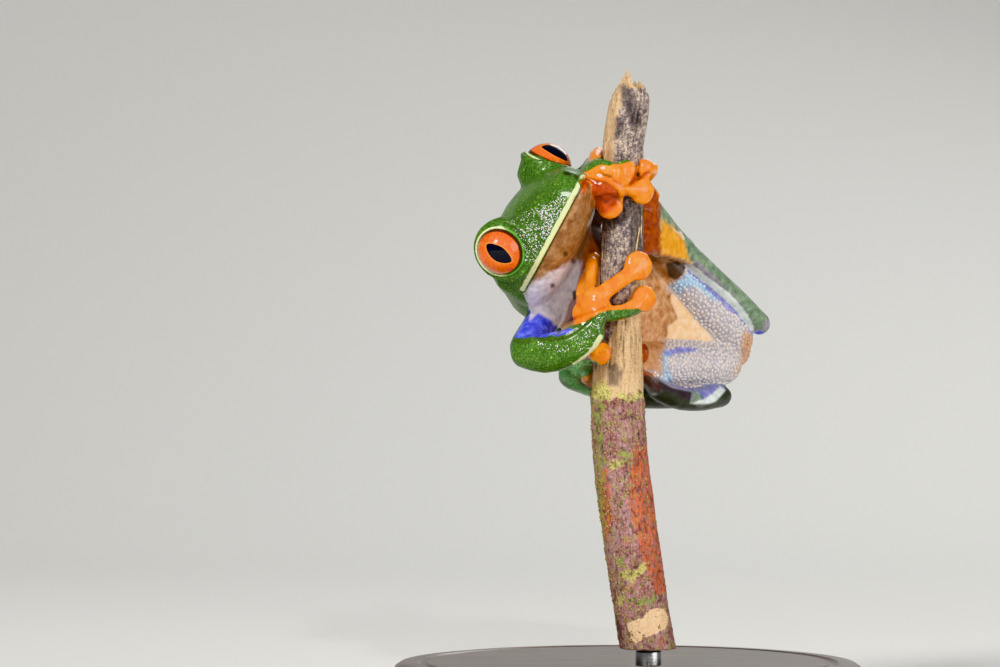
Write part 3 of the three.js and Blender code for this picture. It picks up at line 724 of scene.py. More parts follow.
# areas as the front view shows them: the parts that carry them, colour, and edge in picture places
patches = [
    # under the throat and on the chest
    # the throat's tan is partly painted shade under the head
    ("head torso", "tan", "590,190 603,203 600,240 586,262 570,280 545,292 532,288 556,235"),
    ("head torso upper_arm_right", "milk",
        "526,287 536,282 548,275 562,266 576,260 584,266 586,290 576,312 560,326 530,322"),
    ("torso upper_arm_left", "rust", "582,262 590,240 600,250 602,300 590,318 568,322 576,300"),
    # painted shade in the gap between the throat and the stick, over the torso and the left arm: rust brown,
    # darkened further
    ("torso upper_arm_left forearm_left", "rust", "588,186 622,186 622,262 598,262 590,240"),
    ("torso", "spots_and_shade", "588,186 622,186 622,255 602,258 592,236"),
    ("upper_arm_left forearm_left", "spots_and_shade", "588,186 603,186 603,255 599,257 592,236"),
    ("upper_arm_right forearm_right torso", "violet", "516,338 523,326 538,313 552,321 558,334 545,337 530,336"),
    ("forearm_right hand_right", "mist", "552,332 572,328 574,331 556,337"),
    # forearm and hand of the right side
    ("forearm_right upper_arm_right hand_right", "leaf",
        "498,342 516,338 536,337 552,341 575,332 592,317 604,311 612,330 600,352 570,372 520,372 496,356"),
    ("forearm_right hand_right fingers", "leaf",
        "594,318 606,311 622,309 638,308 645,313 630,318 612,322 600,328"),
    # painted shade: deep red-orange on the underside of the left palm and on the finger behind
    ("hand_left fingers forearm_left", "ember",
        "583,176 595,181 605,183 611,187 617,191 619,197 617,205 611,211 604,215 592,212 584,204 580,188"),
    ("hand_left fingers forearm_left", "ember",
        "637,156 646,157 650,168 653,174 641,178 633,184 631,184 637,177 639,170 638,163"),
    ("forearm_right", "cream", "572,364 588,352 600,334 604,336 592,356 576,367"),
    # hand of the left side: green along its upper edge
    ("hand_left forearm_left fingers", "leaf",
        "582,174 585,164 598,157 612,156 626,155 634,158 628,163 612,165 600,165 589,170"),
    # the left foot, its outer strip and the bands of the left tarsus
    # painted shadow of the stick on the left foot: rust red-brown beside its edge
    ("foot_left toes", "rust", "638,176 654,186 661,204 661,262 638,262"),
    ("foot_left tarsus_left", "chalk", "656,188 668,190 688,222 684,232 674,216 664,203"),
    ("foot_left tarsus_left", "sage", "660,188 670,190 688,220 706,248 700,264 690,262 684,240 672,214"),
    ("tarsus_left", "sage", "690,258 704,246 740,280 766,306 774,326 764,336 745,312 716,286"),
    ("shank_left", "sage", "748,300 760,298 774,322 766,336 752,318"),
    ("tarsus_left thigh_left", "dusk", "688,255 699,262 716,278 736,296 748,311 740,312 722,297 700,277"),
    ("tarsus_left thigh_left", "chalk",
        "686,262 697,268 713,281 729,293 743,308 752,322 756,336 750,336 744,323 735,310 722,297 706,284 "
        "692,273 684,267"),
    ("tarsus_left thigh_left", "mist",
        "690,272 706,284 722,297 735,310 744,323 749,338 743,340 737,328 727,316 715,305 701,293 689,280"),
    ("tarsus_left", "sky", "746,333 762,329 768,336 764,346 750,346"),
    ("tarsus_left shank_left", "dusk", "764,322 770,318 774,328 768,334 764,330"),
    # painted shade cast by the left foot on the thigh and belly below it
    ("thigh_left thigh_right torso shank_left foot_left tarsus_left", "tan",
        "636,252 662,254 686,260 684,268 636,270"),
    # thighs: granular V, belly between them, brown round the vent
    # painted shadow of the stick on the belly beside it: tan brown, softened by orange clay laid over it
    ("torso thigh_left thigh_right", "tan",
        "600,262 684,262 684,284 672,284 668,300 676,318 666,326 664,372 600,372"),
    ("torso thigh_left thigh_right", "clay",
        "600,262 684,262 684,284 672,284 668,300 676,318 666,326 664,372 600,372"),
    # painted shade in the pocket between the left foot and the thigh
    ("torso thigh_left", "spots_and_shade", "666,263 678,261 686,268 683,275 676,280 668,277"),
    ("torso thigh_left thigh_right", "pearl",
        "672,286 690,276 706,288 728,310 746,322 758,345 756,372 740,386 722,386 690,388 664,380 662,356 "
        "690,352 722,350 722,342 705,326 682,298"),
    ("torso thigh_left thigh_right", "sky", "669,287 688,272 698,280 716,297 714,300 700,289 688,286 680,294"),
    ("torso thigh_right", "sky", "663,354 667,354 668,368 673,380 664,382"),
    ("torso thigh_left thigh_right shank_right shank_left", "clay",
        "734,386 740,360 742,336 748,328 760,340 760,372 748,388"),
    ("torso thigh_right", "mist", "664,351 680,347 697,348 696,352 682,353 666,356"),
    # right tarsus
    # painted shade under the thighs: the right tarsus and foot are darkened nearly to black
    ("tarsus_right shank_right foot_right", "spots_and_shade",
        "636,374 652,376 672,388 692,392 690,404 722,404 690,414 636,414"),
    ("tarsus_right shank_right", "sage", "692,394 716,386 735,388 732,402 700,410"),
    ("tarsus_right shank_right", "spots_and_shade", "724,378 738,384 736,402 704,412 700,408 716,402 725,392"),
    ("tarsus_right shank_right thigh_right", "mist", "697,392 705,386 716,384 717,391 703,397"),
    ("tarsus_right shank_right", "chalk", "690,403 702,400 712,394 720,386 726,390 716,401 700,408"),
    # right knee
    ("shank_right thigh_right", "sage", "548,370 566,362 602,360 606,396 590,396 566,384"),
    # light green on the right knee: partly its own colour, partly painted light where the forearm shades it
    ("shank_right thigh_right toes foot_right", "fern",
        "554,372 566,365 574,362 590,360 599,363 600,369 587,376 575,381 594,393 592,398 572,388"),
    ("shank_right thigh_right toes foot_right", "clay", "578,379 593,374 594,390 584,387"),
    ("shank_right thigh_right toes", "spots_and_shade", "590,362 597,362 598,367 592,368"),
    # painted shade: the toe beside the stick in rust brown
    ("toes", "rust", "642,340 662,340 662,372 642,372"),
    # dark places on head, throat and hands
    ("head torso", "spots_and_shade", "563,252 567,251 568,255 564,257"),
    ("head torso", "spots_and_shade", "571,259 575,259 576,263 572,264"),
    ("head torso", "spots_and_shade", "550,284 554,283 555,287 551,288"),
    ("torso", "spots_and_shade", "572,291 580,290 582,298 574,300"),
    ("head", "spots_and_shade", "562,172 568,171 573,174 570,176 564,175"),
    ("head", "spots_and_shade", "574,173 579,176 577,180 573,177"),
    ("head", "ember", "577,180 585,178 589,184 584,192 578,192 580,186"),
    ("hand_left", "spots_and_shade", "600,170 604,174 613,175 611,178 605,176 602,174"),
]


def polygonDepth(u, v, places):
    # how far inside an outline of the picture, in pixels; below nought outside
    ring = places + places[:1]
    inside = np.zeros(len(u), dtype=bool)
    for (u0, v0), (u1, v1) in zip(ring, ring[1:]):
        if v0 != v1:
            inside ^= ((v0 > v) != (v1 > v)) & (u < u0 + (v - v0) * (u1 - u0) / (v1 - v0))
    return np.where(inside, 1, -1) * lineDistance(u, v, ring)


seeThrough = 0.7      # how deep below the seen surface an area still counts


def patchFields(points, fields, away, trees):
    u, v = toPicture(points)
    for carriers, colour, drawn in patches:
        # an area ends where another part comes nearer than those that carry it
        keys = carriers.split()
        near = np.min([away[key] for key in keys], axis=0)
        other = np.min([away[key] for key in away if key not in keys], axis=0)
        zone = np.minimum(polygonDepth(u, v, outline(drawn)) * pixel, (other - near) * 1.5 + 0.1)
        # and it does not go round to the far side of its own carriers
        close = np.flatnonzero(zone > -ground)
        deep = np.max([hiddenDepth(points[close], trees[key]) for key in keys], axis=0)
        zone[close] = np.minimum(zone[close], seeThrough - deep)
        lay(fields, colour, zone, 0.5)


def closeSeams(fields):
    # what lies beneath goes on under the edge of what lies over it, so no ground shows between them
    for i, name in enumerate(layers[:-2]):
        over = np.max([fields[other] for other in layers[i + 1:-1]], axis=0)
        fields[name] = fields[name] + 0.5 * smoothstep(-0.3, -0.05, over)


skinPoints = readPoints(skin.data)
trees = partTrees()
skinTree = meshTree(skin.data)
fields, partAway = skinFields(skinPoints, trees)
patchFields(skinPoints, fields, partAway, trees)
pearlInside = fields["pearl"].copy()
closeSeams(fields)
for name, values in fields.items():
    writeField(skin.data, name, values)
writeField(skin.data, "fold", foldShade)
print("colour fields are laid")


def edgeGroup():
    # a field's edge made ragged by a noise: above nought is inside
    group = bpy.data.node_groups.new("ragged_edge", "ShaderNodeTree")
    for name, start in (("Field", 0.0), ("Noise", 0.5), ("Ragged", 0.4), ("Soft", 0.12)):
        group.interface.new_socket(name, in_out="INPUT", socket_type="NodeSocketFloat").default_value = start
    group.interface.new_socket("Mask", in_out="OUTPUT", socket_type="NodeSocketFloat")
    into = group.nodes.new("NodeGroupInput")
    out = group.nodes.new("NodeGroupOutput")

    def step(kind, a, b):
        node = group.nodes.new("ShaderNodeMath")
        node.operation = kind
        for socket, value in zip(node.inputs, (a, b)):
            if isinstance(value, float):
                socket.default_value = value
            else:
                group.links.new(value, socket)
        return node.outputs[0]

    shifted = step("SUBTRACT", into.outputs["Noise"], 0.5)
    shifted = step("MULTIPLY", shifted, into.outputs["Ragged"])
    shifted = step("ADD", shifted, into.outputs["Field"])
    shifted = step("DIVIDE", shifted, into.outputs["Soft"])
    shifted = step("ADD", shifted, 0.5)
    ranged = group.nodes.new("ShaderNodeMapRange")
    ranged.interpolation_type = "SMOOTHSTEP"
    group.links.new(shifted, ranged.inputs["Value"])
    group.links.new(ranged.outputs["Result"], out.inputs["Mask"])
    return group


raggedEdge = edgeGroup()


class Graph:
    # a material's node tree with short ways to add and join nodes
    def __init__(self, name):
        self.material = bpy.data.materials.new(name)
        self.material.use_nodes = True
        self.tree = self.material.node_tree
        self.shader = self.tree.nodes["Principled BSDF"]

    def add(self, kind, inputs=(), **given):
        # inputs are pairs of a socket's name or number and what goes in: a link, a value or nothing
        node = self.tree.nodes.new(kind)
        for key, value in given.items():
            setattr(node, key, value)
        for key, value in inputs:
            self.plug(node.inputs[key], value)
        return node

    def plug(self, socket, value):
        if isinstance(value, bpy.types.NodeSocket):
            self.tree.links.new(value, socket)
        elif value is not None:
            socket.default_value = value

    def metres(self):
        return self.add("ShaderNodeTexCoord").outputs["Object"]

    def place(self):
        # object coordinates in millimetres
        grown = self.add("ShaderNodeVectorMath", [(0, self.metres()), ("Scale", 1 / mm)], operation="SCALE")
        return grown.outputs[0]

    def stretched(self, where, scale):
        return self.add("ShaderNodeMapping", [("Vector", where), ("Scale", scale)]).outputs[0]

    def near(self, place, low, high):
        # fades in towards a place given in millimetres
        away = self.add("ShaderNodeVectorMath", [(0, self.metres()), (1, Vector(place) * mm)], operation="DISTANCE")
        return self.span(away.outputs["Value"], low, high)

    def field(self, name):
        return self.add("ShaderNodeAttribute", attribute_name=name).outputs["Fac"]

    def mask(self, name, grain, ragged, soft):
        # where a field is above nought, with an edge that a noise makes ragged
        return self.add("ShaderNodeGroup", [("Field", self.field(name)), ("Noise", grain), ("Ragged", ragged),
                                            ("Soft", soft)], node_tree=raggedEdge).outputs["Mask"]

    def noise(self, where, scale, detail=4.0, rough=0.6, warp=0.0):
        return self.add("ShaderNodeTexNoise", [("Vector", where), ("Scale", scale), ("Detail", detail),
                                               ("Roughness", rough), ("Distortion", warp)]).outputs["Fac"]

    def cells(self, where, scale):
        return self.add("ShaderNodeTexVoronoi", [("Vector", where), ("Scale", scale)]).outputs["Distance"]

    def math(self, kind, a, b=None, clamp=False):
        return self.add("ShaderNodeMath", [(0, a), (1, b)], operation=kind, use_clamp=clamp).outputs[0]

    def times(self, a, b):
        return self.math("MULTIPLY", a, b)

    def sum(self, a, shareA, b, shareB=1.0):
        return self.math("ADD", self.times(a, shareA), b if shareB == 1.0 else self.times(b, shareB))

    def span(self, value, low, high):
        return self.add("ShaderNodeMapRange", [("Value", value), ("From Min", low), ("From Max", high)],
                        interpolation_type="SMOOTHSTEP").outputs["Result"]

    def mix(self, factor, a, b, kind="MIX"):
        return self.add("ShaderNodeMix", data_type="RGBA", blend_type=kind,
                        inputs=[("Factor", factor), (6, a), (7, b)]).outputs[2]

    def tint(self, colour, where, share, tone, kind="MIX"):
        # one plain colour laid over, as strongly as a value says
        return self.mix(self.times(where, share), colour, linear(tone), kind)

    def colours(self, factor, tones, positions=(0.3, 0.5, 0.7)):
        # a ramp through screen colours, from low values to high
        node = self.add("ShaderNodeValToRGB", [("Fac", factor)])
        ramp = node.color_ramp
        tones = tones.split()
        while len(ramp.elements) < len(tones):
            ramp.elements.new(0.5)
        for element, position, tone in zip(ramp.elements, positions, tones):
            element.position = position
            element.color = linear(tone)
        return node.outputs["Color"]

    def bump(self, height, strength, distance):
        return self.add("ShaderNodeBump", [("Height", height), ("Strength", strength),
                                           ("Distance", distance)]).outputs["Normal"]

    def finish(self, **values):
        for key, value in values.items():
            self.plug(self.shader.inputs[key.replace("_", " ")], value)
        return self.material

    def dress(self, piece, **values):
        piece.data.materials.append(self.finish(**values))


# each colour of the skin: tones from dark to light, and the noise, raggedness and softness of its edge
skinTones = {
    # tan, rust and ember are laid mostly as painted shade: on the throat, the belly, the feet and the left palm
    "tan": ("74492a 986c46 b8906a", "broad", 1.2, 1.0),
    "milk": ("c2bac8 dedae0 eeeaf0", "middle", 0.9, 0.9),
    "rust": ("702604 943c06 ae5610", "middle", 0.8, 0.9),
    "pearl": ("9896a4 b0a8ae c0b6b2 c4b09c", "middle", 0.8, 0.6),
    "clay": ("a0683e bd8a60 d0a682", "middle", 1.6, 1.8),
    "sky": ("7796cc 90bada acd0e0", "middle", 1.0, 1.0),
    "dusk": ("6e6674 968c9c a8a8a4", "middle", 0.6, 0.5),
    "sage": ("566a54 768e74 98a890", "middle", 0.6, 0.5),
    "mist": ("6664ac 8484c2 a6a8d2", "middle", 0.6, 0.6),
    "chalk": ("b8c4c6 d4dcda e4e8e2", "middle", 0.25, 0.3),
    "violet": ("3840b0 4e58d6 7c88ee", "middle", 0.6, 0.5),
    "honey": ("cc8418 de9a2c eab454", "middle", 0.8, 0.6),
    "amber": ("da7400 ea8a00 f4a000", "middle", 0.6, 0.4),
    "ember": ("8a2602 aa3c02 c65804", "middle", 0.5, 0.8),
    "fern": ("4c8450 78b278 a4d29c", "middle", 0.5, 0.4),
    "leaf": ("2a4a1a 3e6427 5a823a", "middle", 0.6, 0.22),
    "cream": ("b9c48a dfe2b4", "middle", 0.35, 0.2),
}
# where a colour's tones sit on their noise and which noise that is, if not the usual one
toneStops = {"tan": (0.3, 0.5, 0.72), "rust": (0.3, 0.5, 0.72), "pearl": (0.3, 0.45, 0.6, 0.75),
             "dusk": (0.3, 0.55, 0.75), "cream": (0.3, 0.6)}
toneNoise = {"fern": "fine", "leaf": "broad", "cream": "fine"}


def dressSkin(skin):
    graph = Graph("frog_skin_moist")
    where = graph.place()
    noises = {"broad": graph.noise(where, 0.22, 3.0), "middle": graph.noise(where, 1.1, 5.0),
              "fine": graph.noise(where, 4.5, 4.0, 0.65)}
    broad, middle, fine = noises.values()
    edges = {name: graph.mask(name, noises[grain], ragged, soft)
             for name, (tones, grain, ragged, soft) in skinTones.items()}
    # the pale belly lies under all
    colour = graph.colours(middle, "deb27e f0caa0 f6dec0")
    for name, edge in edges.items():
        tone = graph.colours(noises[toneNoise.get(name, "middle")], skinTones[name][0],
                             toneStops.get(name, (0.3, 0.5, 0.7)))
        if name == "amber":
            tone = graph.tint(tone, graph.span(broad, 0.56, 0.4), 0.35, "d25c00")
        if name == "leaf":
            # darker grain and yellow-green freckles
            tone = graph.mix(0.55, tone, graph.colours(fine, "1c380e 48702a 82a456", (0.36, 0.5, 0.64)))
            freckle = graph.times(graph.span(graph.cells(where, 1.35), 0.3, 0.08), graph.span(middle, 0.48, 0.62))
            tone = graph.tint(tone, freckle, 0.8, "9bc94a")
        colour = graph.mix(edge, colour, tone)
        if name == "sage":
            # worn to brown in specks
            colour = graph.tint(colour, graph.times(graph.span(fine, 0.56, 0.64), edge), 0.6, "6c4c36")
    # dark spots and specks, and painted shade in the mouth line, the nostrils and the shaded gaps
    colour = graph.tint(colour, graph.mask("spots_and_shade", middle, 0.3, 0.35), 0.85, "1c0f07")
    # painted shade: the skin is darkened in its creases
    colour = graph.tint(colour, graph.field("fold"), 0.8, "b0622c", "MULTIPLY")
    bumpy = graph.times(graph.span(graph.cells(where, 2.1), 0.5, 0.1), edges["pearl"])
    height = graph.sum(bumpy, 1.6, graph.sum(fine, 0.5, graph.cells(where, 5.5), 0.6))
    # the orange hands and feet are the wettest
    graph.dress(skin, Base_Color=colour, Normal=graph.bump(height, 0.5, 0.00008),
                Roughness=graph.sum(fine, 0.3, 0.22), Coat_Weight=graph.sum(edges["amber"], 0.4, 0.3),
                Coat_Roughness=0.07, Subsurface_Weight=0.1, Subsurface_Scale=0.0011,
                Subsurface_Radius=(1.0, 0.5, 0.25), IOR=1.4, Specular_IOR_Level=0.2)


dressSkin(skin)


def scattered(name, source, spots):
    # copies of one small piece: each spot is a place, the way it faces and its size
    copies = []
    for place, facing, size in spots:
        copied = bpy.data.objects.new(name, source.data.copy())
        copied.location = place
        copied.rotation_euler = Vector(facing).to_track_quat("Z", "Y").to_euler()
        copied.scale = size
        bpy.context.scene.collection.objects.link(copied)
        copies.append(copied)
    bpy.data.objects.remove(source)
    pick(*copies)
    bpy.ops.object.join()
    joined = named(name)
    applyAll(joined)
    return joined


pebbles = {
    "apart": 0.44,
    "radius": 0.27,
    "rise": 0.165,
    "inside": 0.1,
    "seed": 7,
    "bare": ("sage", "mist", "chalk", "violet", "honey", "amber", "leaf"),    # no granules under these
}


def pebbleSpots(points, able):
    # places picked in a shuffled order, none nearer to another than a set distance
    order = able.tolist()
    random.shuffle(order)
    taken, picked = {}, []
    step = pebbles["apart"]
    for i in order:
        p = points[i]
        cell = tuple(int(math.floor(c / step)) for c in p)
        around = [taken.get((cell[0] + a, cell[1] + b, cell[2] + c))
                  for a in (-1, 0, 1) for b in (-1, 0, 1) for c in (-1, 0, 1)]
        if not any(q is not None and np.linalg.norm(p - q) < step for q in around):
            taken[cell] = p
            picked.append((i, random.uniform(0.82, 1.12), random.uniform(0.8, 1.1)))
    return picked


def addPebbles():
    # close-set low domes on the undersides of the thighs
    points, normals = readPoints(skin.data), readNormals(skin.data)
    over = np.max([fields[name] for name in pebbles["bare"]], axis=0)
    able = np.flatnonzero((pearlInside > pebbles["inside"]) & (over < -0.05))
    random.seed(pebbles["seed"])
    picked = pebbleSpots(points, able)
    tones = smoothstep(-0.5, 0.7, fields["clay"]) - smoothstep(-0.3, 0.5, fields["sky"])
    small = 1 - 0.25 * smoothstep(-0.6, 0.6, fields["clay"])
    spots = [(points[i] - normals[i] * 0.05, normals[i], (size * small[i], size * small[i], size * small[i] * high))
             for i, size, high in picked]
    bpy.ops.mesh.primitive_uv_sphere_add(segments=8, ring_count=6, radius=pebbles["radius"])
    dome = bpy.context.object
    editAll(dome, lambda: bpy.ops.mesh.bisect(plane_co=(0, 0, -0.02), plane_no=(0, 0, 1), clear_inner=True))
    dome.scale = (1, 1, pebbles["rise"] / pebbles["radius"])
    applyAll(dome)
    perDome = len(dome.data.vertices)
    grown = scattered("thigh_pebbles", dome, spots)
    writeField(grown.data, "tone", np.repeat([tones[i] for i, size, high in picked], perDome))
    graph = Graph("pebbles_pearly")
    where = graph.place()
    fine = graph.noise(where, 3.5, 3.0)
    colour = graph.colours(graph.noise(where, 0.8, 4.0), "c0bec8 d2cac8 dcd2cc d6c4b0", (0.32, 0.46, 0.58, 0.7))
    tone = graph.field("tone")
    colour = graph.tint(colour, graph.span(tone, 0.0, 1.0), 0.8, "c99a72")
    colour = graph.tint(colour, graph.span(tone, 0.0, -1.0), 0.85, "a8cce2")
    # painted shade: the domes' sides turn a darker lilac-grey as they face away from the view
    facing = graph.add("ShaderNodeLayerWeight", [("Blend", 0.35)])
    colour = graph.tint(colour, facing.outputs["Facing"], 0.35, "9490ac")
    graph.dress(grown, Base_Color=colour, Normal=graph.bump(fine, 0.2, 0.00003), Roughness=0.42, Coat_Weight=0.35,
                Coat_Roughness=0.12, Subsurface_Weight=0.15, Subsurface_Scale=0.0008,
                Subsurface_Radius=(1.0, 0.6, 0.5))
    print("pebbles:", len(spots), "with", len(grown.data.polygons), "faces")
    return grown


# small near-white grains on the snout and the right forearm, their colour a painted highlight for the glints on the
# bumpy skin: how many, and the outline of the picture inside which they lie
glintPlaces = [
    (330, "508,222 524,212 540,204 556,210 548,238 536,262 524,262 512,240"),
    (250, "540,206 556,198 571,190 563,208 553,226 542,240"),
    (40, "520,232 534,222 540,250 528,268"),
    (90, "530,338 549,344 564,346 578,333 590,326 600,312 607,314 598,332 584,344 566,352 546,352"),
    (18, "566,346 590,336 596,346 578,356"),
]
grains = {"sizes": (0.04, 0.072), "shares": (0.75, 1.0, 1.0, 1.25), "flat": 0.8, "seed": 23}


def addGlintGrains():
    random.seed(grains["seed"])
    spots = []
    for count, drawn in glintPlaces:
        places = outline(drawn)
        us, vs = zip(*places)
        while count:
            u, v = random.uniform(min(us), max(us)), random.uniform(min(vs), max(vs))
            if polygonDepth(np.array([u]), np.array([v]), places)[0] < 0:
                continue
            count -= 1
            spot, facing = skinTree.ray_cast(*viewRay(u, v))[:2]
            if spot is not None:
                size = random.uniform(*grains["sizes"]) * random.choice(grains["shares"])
                spots.append((spot, facing, (size, size, size * grains["flat"])))
    bpy.ops.mesh.primitive_ico_sphere_add(subdivisions=2, radius=1)
    made = scattered("glint_grains", bpy.context.object, spots)
    graph = Graph("glint_grains_glassy")
    tint = graph.noise(graph.place(), 5.0, 2.0)
    # painted highlight: near white, tinged blue and pink
    colour = graph.colours(tint, "a8c4e6 e6e2ea e8e0e2 e8b4c4", (0.35, 0.45, 0.55, 0.65))
    graph.dress(made, Base_Color=colour, Roughness=graph.span(tint, 0.2, 0.9), Coat_Weight=1.0, Coat_Roughness=0.02)
    return made


def tube(name, places, radii, sides=12):
    # a round bar along a smooth line, thinning as its radii say
    bpy.ops.curve.primitive_nurbs_path_add(location=(0, 0, 0))
    line = bpy.context.object
    line.data.splines.clear()
    spline = line.data.splines.new("POLY")
    spline.points.add(len(places) - 1)
    for point, place, radius in zip(spline.points, places, radii):
        point.co = (*place, 1)
        point.radius = radius
    line.data.dimensions = "3D"
    line.data.bevel_depth = 1.0
    line.data.bevel_resolution = sides // 2 - 1
    line.data.use_fill_caps = True
    pick(line)
    bpy.ops.object.convert(target="MESH")
    return named(name)


def smoothLine(places, count):
    # a rounded line through places, evenly cut
    places = np.array(places, dtype=float)
    before = np.concatenate([[0], np.cumsum(np.linalg.norm(np.diff(places, axis=0), axis=1))])
    marks = np.linspace(0, before[-1], count)
    line = np.stack([np.interp(marks, before, places[:, axis]) for axis in range(3)], axis=1)
    for _ in range(int(count / 12)):
        line[1:-1] = line[1:-1] * 0.5 + (line[:-2] + line[2:]) * 0.25
    return line


lip = {"rise": 0.27, "radius": 0.34, "count": 120}


def addLip():
    # the pale bead along the edge of the upper jaw
    corner = headFrame["mouthCorner"]
    half = [(back, out) for back, out in lipPlan if 0 < back < corner + 0.1] + [(corner, headFrame["mouthWide"])]
    right = [headPlace(back, -out, lip["rise"]) for back, out in reversed(half)]
    left = [headPlace(back, out, lip["rise"]) for back, out in half]
    line = smoothLine(right + left, lip["count"])
    radii = lip["radius"] * (1 - np.abs(np.linspace(-1, 1, lip["count"])) ** 6 * 0.6)
    bead = tube("upper_lip", line.tolist(), radii.tolist())
    graph = Graph("lip_cream")
    where = graph.place()
    middle = graph.noise(where, 0.9, 5.0)
    fine = graph.noise(where, 5.0, 4.0)
    colour = graph.colours(fine, "c3cc7c dfe2a4 eff0c8")
    dirt = graph.colours(middle, "a86a24 c79a4c", (0.3, 0.5))
    colour = graph.mix(graph.times(graph.span(middle, 0.42, 0.3), 0.8), colour, dirt)
    # a scab at the tip and brown spots at the right corner
    scab = graph.near(headFrame["tip"], 0.0026, 0.0012)
    colour = graph.tint(colour, scab, graph.span(fine, 0.3, 0.5), "a04c10")
    end = headPlace(corner, -headFrame["mouthWide"], 0.3)
    spots = graph.times(graph.near(end, 0.0024, 0.0014), graph.span(fine, 0.46, 0.54))
    colour = graph.tint(colour, spots, 0.8, "b0741c")
    graph.dress(bead, Base_Color=colour, Normal=graph.bump(fine, 0.35, 0.00005), Roughness=0.34,
                Coat_Weight=0.7, Coat_Roughness=0.08)
    return bead


lid = {"wide": 3.03, "thick": 0.15, "height": 0.92}


def addLids(sign, side):
    # the thin rim of the lids round the eyeball
    place = eyeCentre(sign) + eyeAxis(sign) * lid["height"]
    turn = Vector(eyeAxis(sign)).to_track_quat("Z", "Y").to_euler()
    bpy.ops.mesh.primitive_torus_add(location=place, rotation=turn, major_radius=lid["wide"],
                                     minor_radius=lid["thick"], major_segments=96, minor_segments=12)
    rim = named("lid_rim_" + side)
    applyAll(rim)
    away = (readPoints(rim.data) - place) / lid["wide"]
    writeField(rim.data, "pale", away @ headFrame["up"] * 0.9 - away @ headFrame["forward"] * 0.55 + 0.25)
    graph = Graph("lid_rim_" + side)
    fine = graph.noise(graph.place(), 4.0, 4.0)
    colour = graph.mix(graph.mask("pale", fine, 0.5, 0.35), graph.colours(fine, "2f6f1c 63ad3a", (0.3, 0.6)),
                       graph.colours(fine, "b9c678 e4e6b4", (0.3, 0.6)))
    graph.dress(rim, Base_Color=colour, Normal=graph.bump(fine, 0.25, 0.00004), Roughness=0.3,
                Coat_Weight=0.8, Coat_Roughness=0.06)
    return rim


def eyeMaterial():
    graph = Graph("frog_eye_wet")
    gaze = graph.add("ShaderNodeAttribute", attribute_name="gaze").outputs["Vector"]
    x, y = graph.add("ShaderNodeSeparateXYZ", [(0, gaze)]).outputs[:2]
    away = graph.math("SQRT", graph.sum(graph.times(x, x), 1.0, graph.times(y, y)))
    # the pupil is a lens with rounded ends
    across, along = [
        graph.math("POWER", graph.math("DIVIDE", graph.math("ABSOLUTE", way), eyePlan[size]), eyePlan["pupilPower"])
        for way, size in ((x, "pupilWide"), (y, "pupilLong"))]
    lens = graph.math("ADD", across, along)
    # fibres that run outward from the pupil
    turn = graph.math("ARCTAN2", y, x)
    ring = graph.add("ShaderNodeCombineXYZ", [(0, graph.times(graph.math("COSINE", turn), 5.0)),
                                              (1, graph.times(graph.math("SINE", turn), 5.0)),
                                              (2, graph.times(away, 0.7))])
    fibre = graph.noise(ring.outputs[0], 2.6, 5.0, 0.7, 0.4)
    iris = graph.colours(graph.math("DIVIDE", away, eyePlan["radius"]), "ea7a10 e46408 da5604 c64202 862002",
                         (0.2, 0.42, 0.68, 0.86, 0.98))
    vein = graph.colours(fibre, "9c3000 e2680a f59a34", (0.34, 0.5, 0.66))
    colour = graph.mix(0.5, iris, vein)
    colour = graph.tint(colour, graph.span(graph.noise(gaze, 0.7, 3.0), 0.5, 0.7), 0.35, "f7924a")
    colour = graph.tint(colour, graph.span(lens, 1.35, 1.08), 0.55, "f7a24e")
    colour = graph.tint(colour, graph.span(lens, 1.07, 0.97), 1.0, "060818")
    colour = graph.tint(colour, graph.span(graph.field("rim"), 2.62, 2.74), 0.92, "160a14")
    return graph.finish(Base_Color=colour, Normal=graph.bump(fibre, 0.12, 0.00003), Roughness=0.28, Coat_Weight=1.0,
                        Coat_Roughness=0.015, Coat_IOR=1.38, IOR=1.38, Specular_IOR_Level=0.2)


wetEye = eyeMaterial()


def addEye(sign, side):
    centre, axis, look = eyeCentre(sign), eyeAxis(sign), eyeAxis(sign, "gaze")
    turn = Vector(look).to_track_quat("Z", "Y").to_euler()
    bpy.ops.mesh.primitive_uv_sphere_add(segments=96, ring_count=64, radius=eyePlan["radius"],
                                         location=centre, rotation=turn)
    ball = named("eyeball_" + side)
    applyAll(ball)
    # the back of the ball stays inside the head
    points = readPoints(ball.data)
    deep = (points - centre) @ axis
    points += axis * np.maximum(-0.3 - deep, 0)[:, None] * 0.85
    writePoints(ball.data, points)
    away = points - centre
    long = unit(headFrame["up"] + headFrame["left"] * -sign * eyePlan["pupilLean"][sign])
    long = unit(long - look * np.dot(long, look))
    gaze = np.stack([away @ np.cross(long, look), away @ long, away @ look], axis=1)
    field = ball.data.attributes.new("gaze", "FLOAT_VECTOR", "POINT")
    field.data.foreach_set("vector", gaze.astype(np.float32).ravel())
    writeField(ball.data, "rim", np.linalg.norm(away - (away @ axis)[:, None] * axis, axis=1))
    ball.data.materials.append(wetEye)
    return ball


